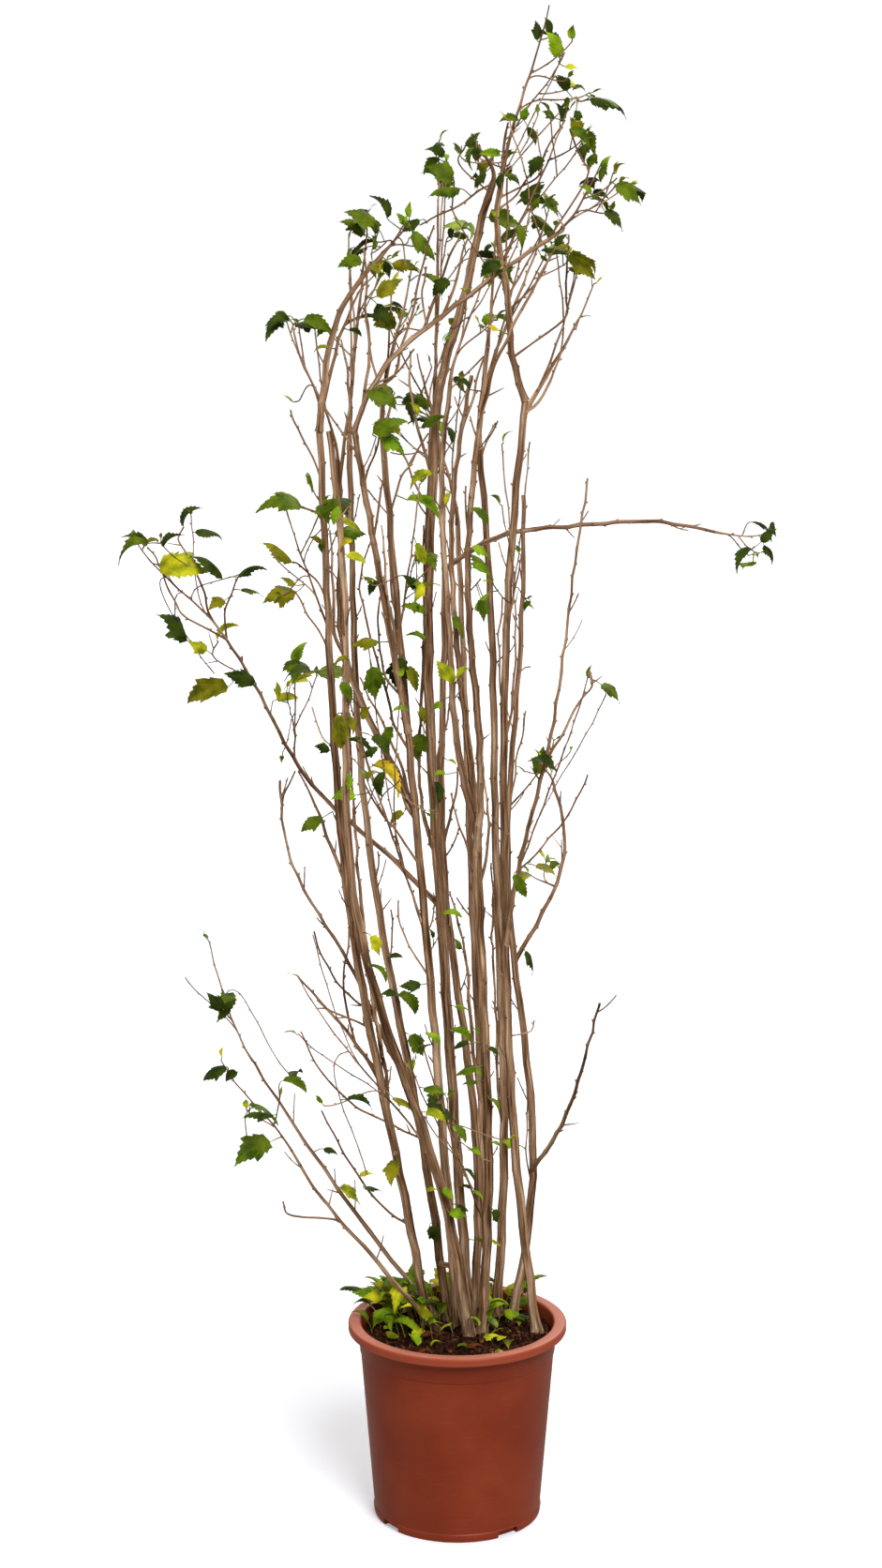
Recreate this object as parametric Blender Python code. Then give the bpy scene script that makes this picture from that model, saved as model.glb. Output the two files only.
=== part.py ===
# A potted rose of Sharon shrub, about two metres tall: many thin bare stems from one clump,
# long boughs, and sprays of twigs with lobed leaves, in a round nursery pot filled with soil.
# Metres, +Z up. The origin is the middle of the pot's flat underside, and the front faces -Y.

import itertools
import math
import random

import bmesh
import bpy
from mathutils import Matrix, Vector

GAP = 0.0003

# Pot
POT_HEIGHT = 0.276
RIM_RADIUS = 0.150
RIM_DEPTH = 0.017
RIM_ROUND = 0.004
NECK_RADIUS = 0.135
BASE_RADIUS = 0.114
STEP = 0.0012
TOP_BAND = 0.030
FOOT_BAND = 0.011
WALL = 0.003
FLOOR = 0.004
POT_SIDES = 40
NOTCH_COUNT = 4
NOTCH_TURN = math.radians(37)
NOTCH_WIDTH = 0.033
NOTCH_HEIGHT = 0.010
NOTCH_DEPTH = 0.008

# Soil
SOIL_TOP = 0.256

# A limb that leaves the side of another one is cut to sit round it, a little clear.
SEAT_ROOM = 0.0004
SEAT_COLLAR = 0.004

# A limb runs from its start to its tip, and its bends are how far it swings to the left of that
# line in one, two and three half waves, seen from the front. Its depth swings it back and forth.
# Each stem: foot (x, y), tip, bends, depth, and thickness at the foot and the tip.
STEMS = {
    "stem_left": dict(
        foot=(-0.040, 0.035), tip=(-0.177, -0.100, 1.497),
        bends=(0.031, -0.002, -0.003), depth=-0.050, thick=(0.0125, 0.0085),
    ),
    "stem_left_front": dict(
        foot=(0.016, -0.006), tip=(-0.162, -0.170, 1.502),
        bends=(0.043, -0.005, -0.014), depth=-0.060, thick=(0.0145, 0.0075),
    ),
    "stem_left_back": dict(
        foot=(-0.013, 0.050), tip=(-0.145, 0.110, 1.460),
        bends=(0.030, -0.008, -0.003), depth=0.020, thick=(0.0125, 0.0075),
    ),
    "stem_knuckled": dict(
        foot=(0.000, 0.022), tip=(-0.098, -0.050, 1.494),
        bends=(-0.003, -0.001, 0.0), depth=-0.030, thick=(0.0130, 0.0080),
    ),
    "stem_middle": dict(
        foot=(0.018, 0.035), tip=(-0.030, 0.010, 1.508),
        bends=(0.021, -0.005, 0.002), depth=0.0, thick=(0.0140, 0.0130),
    ),
    "stem_middle_back": dict(
        foot=(0.023, 0.060), tip=(-0.023, 0.140, 1.445),
        bends=(0.007, -0.009, -0.009), depth=0.030, thick=(0.0120, 0.0075),
    ),
    "stem_forked": dict(
        foot=(0.034, 0.005), tip=(0.024, -0.050, 0.994),
        bends=(-0.010, -0.003, 0.0), depth=-0.020, thick=(0.0130, 0.0120),
    ),
    "stem_right_back": dict(
        foot=(0.056, 0.070), tip=(0.031, 0.200, 1.454),
        bends=(-0.016, -0.002, -0.004), depth=0.040, thick=(0.0130, 0.0085),
    ),
    "stem_right": dict(
        foot=(0.110, 0.0), tip=(0.086, -0.040, 1.533),
        bends=(0.039, 0.0, 0.003), depth=-0.020, thick=(0.0125, 0.0090),
    ),
    "stem_right_thin": dict(
        foot=(0.076, 0.040), tip=(0.088, 0.100, 1.400),
        bends=(-0.002, -0.015, -0.012), depth=0.040, thick=(0.0120, 0.0055),
    ),
    "stem_back": dict(
        foot=(0.042, 0.098), tip=(0.001, 0.270, 1.344),
        bends=(-0.002, -0.001, -0.001), depth=0.050, thick=(0.0115, 0.0070),
    ),
    "stem_low_front": dict(
        foot=(-0.026, 0.010), tip=(-0.218, -0.140, 0.560),
        bends=(0.001, -0.002, 0.002), depth=-0.030, thick=(0.0075, 0.0035),
    ),
    "stem_low_back": dict(
        foot=(-0.030, 0.066), tip=(-0.290, 0.190, 0.590),
        bends=(0.012, 0.0, 0.0), depth=0.020, thick=(0.0075, 0.0035),
    ),
}
FLARE = 0.55
FLARE_HEIGHT = 0.016
STEM_SIDES = 8
STEM_STATIONS = 11

# Each bough leaves another limb at a share of that limb's length, and 1.0 is from its tip.
BOUGHS = {
    "bough_left_inner": dict(
        on="stem_knuckled", at=0.60, tip=(-0.159, 0.050, 1.451),
        bends=(0.045, 0.005, -0.004), depth=0.060, thick=(0.0085, 0.0050),
    ),
    "bough_left_upper": dict(
        on="stem_knuckled", at=0.685, tip=(-0.132, -0.120, 1.499),
        bends=(0.0, 0.0, 0.0), depth=-0.020, thick=(0.0080, 0.0065),
    ),
    "bough_fork_middle": dict(
        on="stem_forked", at=1.0, tip=(0.018, 0.090, 1.560),
        bends=(0.028, -0.004, 0.0), depth=0.050, thick=(0.0085, 0.0045),
    ),
    "bough_fork_left": dict(
        on="stem_forked", at=0.965, tip=(-0.011, -0.070, 1.555),
        bends=(0.024, 0.0, 0.004), depth=-0.030, thick=(0.0085, 0.0050),
    ),
    "bough_fork_right": dict(
        on="stem_forked", at=0.935, tip=(0.035, -0.190, 1.606),
        bends=(0.015, -0.007, -0.003), depth=-0.060, thick=(0.0090, 0.0050),
    ),
    "bough_arching": dict(
        on="stem_middle_back", at=0.875, tip=(0.333, -0.040, 1.364),
        bends=(0.042, 0.004, 0.005), depth=-0.030, thick=(0.0065, 0.0035),
    ),
    "bough_left_long": dict(
        on="stem_middle", at=0.475, tip=(-0.318, 0.170, 1.196),
        bends=(0.042, 0.0, -0.005), depth=0.100, thick=(0.0065, 0.0035),
    ),
    "bough_left_low": dict(
        on="stem_left_back", at=0.265, tip=(-0.228, -0.160, 1.058),
        bends=(0.017, -0.010, 0.006), depth=-0.020, thick=(0.0055, 0.0025),
    ),
    "bough_right_bare": dict(
        on="stem_right", at=0.435, tip=(0.148, -0.180, 1.360),
        bends=(-0.003, 0.004, 0.002), depth=-0.050, thick=(0.0060, 0.0025),
    ),
    "bough_right_low": dict(
        on="stem_right_thin", at=0.185, tip=(0.184, -0.140, 0.760),
        bends=(-0.011, -0.002, 0.0), depth=-0.020, thick=(0.0060, 0.0025),
    ),
    "bough_right_side": dict(
        on="stem_right_thin", at=0.44, tip=(0.135, 0.200, 0.990),
        bends=(-0.036, 0.004, 0.0), depth=0.010, thick=(0.0055, 0.0035),
    ),
    "bough_top_right": dict(
        on="stem_right", at=1.0, tip=(0.055, -0.020, 1.814),
        bends=(0.013, -0.001, 0.004), depth=-0.020, thick=(0.0075, 0.0060),
    ),
    "bough_crossing": dict(
        on="bough_left_upper", at=1.0, tip=(0.110, -0.150, 1.736),
        bends=(0.030, 0.007, 0.003), depth=-0.025, thick=(0.0060, 0.0045),
    ),
    "bough_top_middle": dict(
        on="stem_middle", at=1.0, tip=(0.044, 0.010, 1.808),
        bends=(0.003, 0.001, 0.002), depth=-0.010, thick=(0.0105, 0.0080),
    ),
    "bough_upper_left": dict(
        on="stem_left", at=1.0, tip=(-0.096, -0.060, 1.720),
        bends=(0.025, -0.003, 0.0), depth=-0.020, thick=(0.0080, 0.0050),
    ),
}
BOUGH_SIDES = 6
BOUGH_STATIONS = 7

# Each mass of leaves: the limb that its stem leaves, the tips of that stem (first) and of its
# main twigs, its stem's thickness, and how many side spurs and leaves it has at most.
MASSES = {
    "leaves_leader": dict(
        on="bough_top_right", at=1.0, thick=0.0055, spurs=2, leaves=10, seed=229,
        tips=(
            (0.115, 0.000, 2.030), (0.135, 0.050, 1.970),
            (0.170, 0.070, 1.925), (0.135, -0.030, 1.935),
        ),
    ),
    "leaves_top_right": dict(
        on="bough_top_right", at=0.62, thick=0.0045, spurs=3, leaves=11, seed=445,
        tips=(
            (0.135, -0.060, 1.895), (0.155, -0.110, 1.860),
            (0.065, -0.030, 1.885), (0.100, -0.020, 1.875),
        ),
    ),
    "leaves_right_top": dict(
        on="bough_crossing", at=1.0, thick=0.0042, spurs=3, leaves=12, seed=965,
        tips=(
            (0.175, -0.160, 1.830), (0.210, -0.120, 1.805),
            (0.185, -0.180, 1.770), (0.160, -0.100, 1.795),
        ),
    ),
    "leaves_centre_top": dict(
        on="bough_top_middle", at=1.0, thick=0.0070, spurs=3, leaves=12, seed=83,
        tips=(
            (0.020, -0.030, 1.865), (0.045, 0.030, 1.845),
            (0.060, -0.020, 1.815), (0.030, 0.060, 1.820),
        ),
    ),
    "leaves_top_left": dict(
        on="stem_middle", at=0.975, thick=0.0070, spurs=2, leaves=8, seed=1351,
        tips=((-0.025, 0.090, 1.865), (-0.015, 0.050, 1.835), (-0.020, 0.120, 1.810)),
    ),
    "leaves_upper_left_back": dict(
        on="stem_left_back", at=1.0, thick=0.0070, spurs=3, leaves=11, seed=873,
        tips=(
            (-0.120, 0.160, 1.775), (-0.145, 0.120, 1.745),
            (-0.145, 0.150, 1.710), (-0.100, 0.170, 1.695),
        ),
    ),
    "leaves_upper_left_front": dict(
        on="bough_upper_left", at=1.0, thick=0.0046, spurs=3, leaves=12, seed=1025,
        tips=(
            (-0.070, -0.060, 1.755), (-0.040, -0.030, 1.730),
            (-0.105, -0.090, 1.735), (-0.065, -0.100, 1.705),
        ),
    ),
    "leaves_far_left": dict(
        on="bough_left_inner", at=1.0, thick=0.0046, spurs=1, leaves=4, seed=734,
        tips=((-0.225, 0.040, 1.635), (-0.190, 0.080, 1.630), (-0.215, 0.100, 1.525)),
    ),
    "leaves_fork_right": dict(
        on="stem_right", at=0.985, thick=0.0070, spurs=2, leaves=3, seed=1506,
        tips=((0.180, 0.100, 1.680), (0.160, 0.080, 1.710), (0.125, 0.030, 1.750)),
    ),
    "leaves_back_top": dict(
        on="stem_right_back", at=1.0, thick=0.0080, spurs=3, leaves=11, seed=272,
        tips=((0.125, 0.220, 1.785), (0.100, 0.260, 1.780), (0.120, 0.200, 1.720)),
    ),
    "leaves_centre": dict(
        on="bough_fork_left", at=1.0, thick=0.0046, spurs=2, leaves=9, seed=502,
        tips=(
            (0.035, -0.050, 1.700), (0.045, -0.020, 1.635),
            (0.010, -0.100, 1.670), (-0.010, -0.080, 1.625),
        ),
    ),
    "leaves_front_top": dict(
        on="bough_fork_right", at=1.0, thick=0.0046, spurs=1, leaves=6, seed=1045,
        tips=((0.045, -0.210, 1.760), (0.075, -0.180, 1.745), (0.000, -0.220, 1.755)),
    ),
    "leaves_mid_left_top": dict(
        on="stem_knuckled", at=1.0, thick=0.0072, spurs=3, leaves=11, seed=562,
        tips=(
            (-0.060, -0.060, 1.700), (-0.085, -0.090, 1.680),
            (-0.075, -0.030, 1.635), (-0.040, 0.000, 1.625),
        ),
    ),
    "leaves_back_left": dict(
        on="stem_middle_back", at=1.0, thick=0.0065, spurs=2, leaves=8, seed=156,
        tips=((-0.055, 0.200, 1.585), (-0.100, 0.220, 1.640), (-0.010, 0.160, 1.620)),
    ),
    "leaves_back": dict(
        on="stem_back", at=1.0, thick=0.0062, spurs=3, leaves=10, seed=1565,
        tips=(
            (-0.035, 0.300, 1.495), (0.005, 0.270, 1.545),
            (-0.080, 0.320, 1.470), (-0.005, 0.280, 1.465),
        ),
    ),
    "leaves_right_mid": dict(
        on="stem_right", at=0.77, thick=0.0036, spurs=1, leaves=11, seed=936,
        tips=(
            (0.080, -0.100, 1.340), (0.090, -0.110, 1.485), (0.055, -0.090, 1.480),
            (0.055, -0.120, 1.405), (0.085, -0.110, 1.285),
        ),
    ),
    "leaves_left_mid": dict(
        on="stem_left", at=0.80, thick=0.0036, spurs=1, leaves=10, seed=982,
        tips=(
            (-0.220, -0.120, 1.405), (-0.235, -0.160, 1.350),
            (-0.225, -0.100, 1.290), (-0.160, -0.070, 1.395),
        ),
    ),
    "leaves_centre_mid": dict(
        on="bough_left_upper", at=0.25, thick=0.0036, spurs=1, leaves=12, seed=755,
        tips=(
            (-0.050, -0.100, 1.430), (-0.140, -0.120, 1.370), (-0.055, -0.090, 1.340),
            (-0.110, -0.130, 1.305), (-0.055, -0.080, 1.275),
        ),
    ),
    "leaves_left_heart": dict(
        on="stem_knuckled", at=0.46, thick=0.0045, spurs=1, leaves=13, seed=617,
        tips=(
            (-0.150, -0.105, 1.195), (-0.115, -0.130, 1.225), (-0.075, -0.120, 1.185),
            (-0.125, -0.140, 1.105), (-0.075, -0.130, 1.055), (-0.150, -0.090, 1.090),
            (-0.045, -0.110, 1.010),
        ),
    ),
    "leaves_left_cluster": dict(
        on="bough_left_long", at=1.0, thick=0.0034, spurs=2, leaves=14, seed=1297,
        tips=(
            (-0.440, 0.170, 1.330), (-0.360, 0.120, 1.370), (-0.280, 0.130, 1.300),
            (-0.395, 0.210, 1.215), (-0.340, 0.230, 1.140),
        ),
    ),
    "leaves_left_bough": dict(
        on="bough_left_long", at=0.62, thick=0.0030, spurs=1, leaves=7, seed=1425,
        tips=((-0.220, 0.100, 1.180), (-0.230, 0.060, 1.140), (-0.240, 0.130, 1.045)),
    ),
    "leaves_arch_tip": dict(
        on="bough_arching", at=1.0, thick=0.0034, spurs=1, leaves=4, seed=840,
        tips=((0.400, -0.060, 1.365), (0.375, -0.040, 1.335)),
    ),
    "leaves_right": dict(
        on="bough_right_bare", at=0.22, thick=0.0030, spurs=1, leaves=4, seed=1559,
        tips=((0.165, -0.200, 1.210), (0.190, -0.150, 1.175), (0.105, -0.120, 1.075)),
    ),
    "leaves_low_right": dict(
        on="bough_right_side", at=1.0, thick=0.0032, spurs=1, leaves=5, seed=1505,
        tips=((0.115, 0.180, 1.025), (0.160, 0.230, 1.030), (0.135, 0.200, 1.050)),
    ),
    "leaves_right_side": dict(
        on="bough_right_side", at=0.45, thick=0.0030, spurs=0, leaves=4, seed=927,
        tips=((0.100, 0.150, 0.870), (0.125, 0.200, 0.880)),
    ),
    "leaves_low_front": dict(
        on="stem_low_front", at=1.0, thick=0.0032, spurs=1, leaves=5, seed=75,
        tips=((-0.305, -0.200, 0.700), (-0.275, -0.170, 0.625), (-0.280, -0.130, 0.560)),
    ),
    "leaves_low_back": dict(
        on="stem_low_back", at=1.0, thick=0.0032, spurs=1, leaves=5, seed=920,
        tips=(
            (-0.355, 0.240, 0.755), (-0.385, 0.200, 0.710),
            (-0.330, 0.220, 0.670), (-0.230, 0.170, 0.570),
        ),
    ),
    "leaves_left_low": dict(
        on="stem_left_front", at=0.24, thick=0.0036, spurs=1, leaves=4, seed=238,
        tips=(
            (-0.210, -0.130, 0.795), (-0.210, -0.090, 0.705), (-0.175, -0.150, 0.625),
            (-0.190, -0.110, 0.845), (-0.120, -0.130, 0.525),
        ),
    ),
    "leaves_middle_low": dict(
        on="stem_forked", at=0.20, thick=0.0036, spurs=1, leaves=11, seed=1284,
        tips=(
            (-0.050, -0.070, 0.700), (-0.060, -0.075, 0.650), (-0.045, -0.080, 0.590),
            (0.000, -0.105, 0.570), (0.045, -0.090, 0.530), (0.065, -0.070, 0.555),
            (0.020, -0.080, 0.490),
        ),
    ),
    "leaves_foot": dict(
        on="soil", at=(-0.062, 0.040), thick=0.0036, spurs=3, leaves=12, seed=769,
        tips=((-0.075, 0.030, 0.310), (-0.115, 0.020, 0.320), (-0.025, 0.060, 0.300)),
    ),
}
TWIG_SIDES = 3
MASS_STEM_SIDES = 5
SHOOT_STATIONS = 5
TWIG_THICK = 0.62
SHOOT_TIP = 0.0018
SPUR_LENGTH = (0.030, 0.065)
SPUR_THICK = 0.0020
SPUR_LEAN = math.radians(50)

# Leaves sit at nodes that crowd towards each shoot's tip and turn round it by the golden angle.
FIRST_NODE = 0.004
NODE_GROWTH = 1.45
NODE_STEP = 0.012
GOLDEN_ANGLE = math.radians(137.5)
PETIOLE = (0.010, 0.022)
LEAF_LENGTH = (0.032, 0.056)
LEAF_WIDTH = 0.66
LEAF_WIDEST = 0.42
LEAF_ARCH = 0.12
LEAF_THICK = 0.0016
DROOP = (math.radians(-35), math.radians(50))
LEAF_CLEAR = 0.0025
SHOOT_CLEAR = 0.0012
LEAF_SPACING = 0.013
REACH_LOW = (-0.468, -0.262, 0.0)
REACH_HIGH = (0.424, 0.358, 2.031)
TAKEN_CUBE = 0.04

COLOURS = {
    "pot": ("terracotta plastic", (0.245, 0.052, 0.030), 0.42),
    "soil": ("potting soil", (0.045, 0.028, 0.020), 0.95),
    "bark": ("grey brown bark", (0.262, 0.159, 0.107), 0.80),
    "leaf": ("green leaves", (0.085, 0.200, 0.022), 0.55),
}


def mix(a, b, share):
    return a + (b - a) * share


def paint(obj, colour):
    title, rgb, roughness = COLOURS[colour]
    material = bpy.data.materials.new(f"{title} of {obj.name}")
    material.use_nodes = True
    shader = material.node_tree.nodes["Principled BSDF"]
    shader.inputs["Base Color"].default_value = (*rgb, 1.0)
    shader.inputs["Roughness"].default_value = roughness
    shader.inputs["Metallic"].default_value = 0.0
    obj.data.materials.clear()
    obj.data.materials.append(material)


def object_from(bm, name, collection=None):
    bmesh.ops.recalc_face_normals(bm, faces=bm.faces)
    mesh = bpy.data.meshes.new(name)
    bm.to_mesh(mesh)
    bm.free()
    obj = bpy.data.objects.new(name, mesh)
    (collection or bpy.context.scene.collection).objects.link(obj)
    return obj


def smooth(obj, sharp_degrees=40):
    obj.data.shade_smooth()
    obj.data.set_sharp_from_angle(angle=math.radians(sharp_degrees))


# Pot and soil


def turned(name, profile, sides):
    """Spins a profile of (radius, height) pairs, whose ends lie on the axis, into a closed solid."""
    bm = bmesh.new()
    verts = [bm.verts.new((radius, 0, height)) for radius, height in profile]
    edges = [bm.edges.new(pair) for pair in zip(verts, verts[1:])]
    bmesh.ops.spin(
        bm, geom=verts + edges, cent=(0, 0, 0), axis=(0, 0, 1), dvec=(0, 0, 0),
        angle=math.tau, steps=sides, use_merge=True, use_duplicate=False,
    )
    bmesh.ops.remove_doubles(bm, verts=bm.verts, dist=0.00001)
    return object_from(bm, name)


def wall_radius(height):
    """Outer radius of the pot's plain tapering wall."""
    return BASE_RADIUS + (NECK_RADIUS - BASE_RADIUS) * height / (POT_HEIGHT - RIM_DEPTH)


def inner_radius(height):
    """Inner radius of the pot, from its floor to its rim."""
    low = wall_radius(FLOOR) - WALL
    high = wall_radius(POT_HEIGHT - RIM_DEPTH) - WALL
    return mix(low, high, (height - FLOOR) / (POT_HEIGHT - RIM_ROUND - FLOOR))


def make_pot():
    under_rim = POT_HEIGHT - RIM_DEPTH
    band = under_rim - TOP_BAND
    inner_rim = inner_radius(POT_HEIGHT - RIM_ROUND)
    profile = [
        (0, 0),
        (BASE_RADIUS + STEP - 0.003, 0),
        (BASE_RADIUS + STEP, 0.003),
        (wall_radius(FOOT_BAND) + STEP, FOOT_BAND),
        (wall_radius(FOOT_BAND), FOOT_BAND + STEP),
        (wall_radius(band), band),
        (wall_radius(band) + STEP, band + STEP),
        (wall_radius(under_rim) + STEP, under_rim),
        (RIM_RADIUS - RIM_ROUND / 2, under_rim - 0.001),
        (RIM_RADIUS, under_rim + RIM_ROUND),
        (RIM_RADIUS, POT_HEIGHT - RIM_ROUND),
        (RIM_RADIUS - RIM_ROUND, POT_HEIGHT),
        (inner_rim + RIM_ROUND, POT_HEIGHT),
        (inner_rim, POT_HEIGHT - RIM_ROUND),
        (inner_radius(FLOOR), FLOOR),
        (0, FLOOR),
    ]
    pot = turned("pot", profile, POT_SIDES)
    bm = bmesh.new()
    for index in range(NOTCH_COUNT):
        turn = Matrix.Rotation(NOTCH_TURN + index * math.tau / NOTCH_COUNT, 4, "Z")
        place = Matrix.Translation((BASE_RADIUS, 0, 0))
        size = Matrix.Diagonal((2 * NOTCH_DEPTH, NOTCH_WIDTH, 2 * NOTCH_HEIGHT, 1))
        bmesh.ops.create_cube(bm, size=1, matrix=turn @ place @ size)
    cutter = object_from(bm, "notch cutter")
    cutter.hide_render = True
    cutter.display_type = "WIRE"
    cut = pot.modifiers.new("drainage notches", "BOOLEAN")
    cut.operation = "DIFFERENCE"
    cut.object = cutter
    smooth(pot)
    paint(pot, "pot")


def make_soil():
    bottom = FLOOR + GAP
    low = inner_radius(bottom) - GAP
    high = inner_radius(SOIL_TOP) - GAP
    soil = turned("soil", [(0, bottom), (low, bottom), (high, SOIL_TOP), (0, SOIL_TOP)], POT_SIDES)
    smooth(soil)
    paint(soil, "soil")


# Limbs: each is a list of places, radii and the way that each section faces


def swung(start, tip, bends, depth, share):
    """The place at a share of the way along a limb that swings from side to side."""
    way = tip - start
    side = Vector((-way.z, 0, way.x)).normalized()
    swing = sum(
        reach * math.sin(count * math.pi * share) for count, reach in enumerate(bends, 1)
    )
    back = depth * math.sin(math.pi * share)
    return start + way * share + side * swing + Vector((0, back, 0))


def ways_along(places):
    """The unit direction of a line of places at each of them."""
    last = len(places) - 1
    return [
        (places[min(i + 1, last)] - places[max(i - 1, 0)]).normalized() for i in range(last + 1)
    ]


class Limb:
    """A tapering round limb along a line of places."""

    def __init__(self, name, places, radii, sides, first_way=None):
        self.name = name
        self.places = places
        self.radii = radii
        self.sides = sides
        self.ways = ways_along(places)
        if first_way is not None:
            self.ways[0] = first_way
        self.seat = None

    def at(self, share):
        """Place, direction and radius at a share of the length."""
        lengths = [(b - a).length for a, b in zip(self.places, self.places[1:])]
        left = share * sum(lengths)
        for i, length in enumerate(lengths):
            if left <= length or i == len(lengths) - 1:
                part = min(left / length, 1.0)
                place = mix(self.places[i], self.places[i + 1], part)
                way = (self.places[i + 1] - self.places[i]).normalized()
                return place, way, mix(self.radii[i], self.radii[i + 1], part)
            left -= length


def seated(point, way, middle, axis, reach):
    """Slides a point along a direction until it is a reach away from an axis through a middle."""
    out = point - middle
    out -= axis * out.dot(axis)
    step = way - axis * way.dot(axis)
    half = out.dot(step)
    square = step.length_squared
    return (-half + math.sqrt(max(half**2 - square * (out.length_squared - reach**2), 0))) / square


def leaving(parent, share, towards, radius):
    """How a limb leaves its parent: its first place, its way there, and its seat on the parent."""
    place, way, parent_radius = parent.at(share)
    if share >= 1.0:
        way = parent.ways[-1]
        return place + way * GAP, way, None
    away = (towards - place).normalized()
    reach = parent_radius + GAP + SEAT_ROOM
    edge = (way - away * way.dot(away)).normalized() * radius
    rise = max(seated(place + side, away, place, way, reach) for side in (edge, -edge))
    return place, away, dict(middle=place, axis=way, reach=reach, rise=rise + SEAT_COLLAR)


def start_of(on, at, towards, radius, limbs):
    """First place, way and seat of a limb or mass on another limb, or on the soil."""
    if on == "soil":
        return Vector((*at, SOIL_TOP + GAP)), Vector((0, 0, 1)), None
    return leaving(limbs[on], at, towards, radius)


def grow_stem(name, size):
    foot = Vector((*size["foot"], SOIL_TOP + GAP))
    tip = Vector(size["tip"])
    length = (tip - foot).length
    flare_shares = [0, FLARE_HEIGHT / 2 / length, FLARE_HEIGHT * 2 / length]
    shares = flare_shares + [
        mix(flare_shares[-1], 1, i / STEM_STATIONS) for i in range(1, STEM_STATIONS + 1)
    ]
    places = [swung(foot, tip, size["bends"], size["depth"], share) for share in shares]
    radii = []
    for share in shares:
        flare = 1 + FLARE * math.exp(-share * length / FLARE_HEIGHT)
        radii.append(mix(*size["thick"], share) / 2 * flare)
    return Limb(name, places, radii, STEM_SIDES, Vector((0, 0, 1)))


def grow_bough(name, size, limbs):
    tip = Vector(size["tip"])
    radius = size["thick"][0] / 2
    begin = limbs[size["on"]].at(size["at"])[0]
    early = swung(begin, tip, size["bends"], size["depth"], 0.04)
    first, way, seat = start_of(size["on"], size["at"], early, radius, limbs)
    clear = seat["rise"] / (tip - first).length if seat else 0.0
    shares = [clear + (1 - clear) * i / BOUGH_STATIONS for i in range(BOUGH_STATIONS + 1)]
    if seat is None:
        shares = shares[1:]
    places = [first] + [swung(first, tip, size["bends"], size["depth"], s) for s in shares]
    radii = [mix(*size["thick"], share) / 2 for share in [0.0] + shares]
    limb = Limb(name, places, radii, BOUGH_SIDES, way)
    limb.seat = seat
    return limb


def tube(limb, name, collection=None):
    """One closed tapering tube, from a disc that is pushed on from place to place."""
    bm = bmesh.new()
    turn = limb.ways[0].to_track_quat("Z", "Y")
    frames = []
    for i, (place, way, radius) in enumerate(zip(limb.places, limb.ways, limb.radii)):
        if i:
            turn = limb.ways[i - 1].rotation_difference(way) @ turn
        frames.append(Matrix.LocRotScale(place, turn, Vector((radius, radius, radius))))
    bmesh.ops.create_circle(
        bm, cap_ends=True, segments=limb.sides, radius=1.0, matrix=frames[0]
    )
    bm.faces.ensure_lookup_table()
    face = bm.faces[0]
    root = list(face.verts)
    foot = face
    for before, after in zip(frames, frames[1:]):
        moved = bmesh.ops.extrude_face_region(bm, geom=[face])["geom"]
        if face is not foot:
            bmesh.ops.delete(bm, geom=[face], context="FACES_ONLY")
        face = next(part for part in moved if isinstance(part, bmesh.types.BMFace))
        bmesh.ops.transform(bm, matrix=after @ before.inverted(), verts=face.verts)
    if limb.seat:
        seat = limb.seat
        centre = bmesh.ops.poke(bm, faces=[foot])["verts"][0]
        for vert in [*root, centre]:
            slide = seated(vert.co, limb.ways[0], seat["middle"], seat["axis"], seat["reach"])
            vert.co += limb.ways[0] * slide
    return object_from(bm, name, collection)


# Clearance: a round-ended capsule stands for each stretch of limb and each leaf


class Taken:
    """The capsules that are already there, each with its owner, sorted into cubes of space."""

    def __init__(self):
        self.cubes = {}

    def cubes_of(self, low, high):
        ends = [
            (math.floor(a / TAKEN_CUBE), math.floor(b / TAKEN_CUBE) + 1)
            for a, b in zip(low, high)
        ]
        return itertools.product(*[range(*pair) for pair in ends])

    def add_line(self, owner, places, radii):
        for a, b, ra, rb in zip(places, places[1:], radii, radii[1:]):
            width = max(ra, rb)
            low = [min(a[k], b[k]) - width for k in range(3)]
            high = [max(a[k], b[k]) + width for k in range(3)]
            for cube in self.cubes_of(low, high):
                self.cubes.setdefault(cube, []).append((owner, a, b, width))

    def clear(self, points, radius, owner):
        """Whether every point keeps a radius away from what other owners have there."""
        low = [min(p[k] for p in points) - radius for k in range(3)]
        high = [max(p[k] for p in points) + radius for k in range(3)]
        for cube in self.cubes_of(low, high):
            for other, a, b, width in self.cubes.get(cube, ()):
                if other == owner:
                    continue
                along = b - a
                square = max(along.length_squared, 1e-12)
                for point in points:
                    share = min(max((point - a).dot(along) / square, 0), 1)
                    if (point - a - along * share).length < width + radius:
                        return False
        return True


# Sprays: one stem, twigs, spurs and leaves


def curved(start, way, tip, end_way, count):
    """Places along a curve that leaves the start one way and reaches the tip another way."""
    pull = (tip - start).length / 3
    a, b, c, d = start, start + way * pull, tip - end_way * pull, tip
    places = []
    for i in range(count + 1):
        t = i / count
        s = 1 - t
        places.append(a * s**3 + b * (3 * s * s * t) + c * (3 * s * t * t) + d * t**3)
    return places


def tapering(first, count):
    return [mix(first, SHOOT_TIP / 2, (i / count) ** 0.8) for i in range(count + 1)]


def rising(start, tip):
    """The way a shoot points at its tip: onwards and a little up."""
    onwards = (tip - start).normalized()
    return (onwards + Vector((0, 0, 0.35))).normalized()


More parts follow.
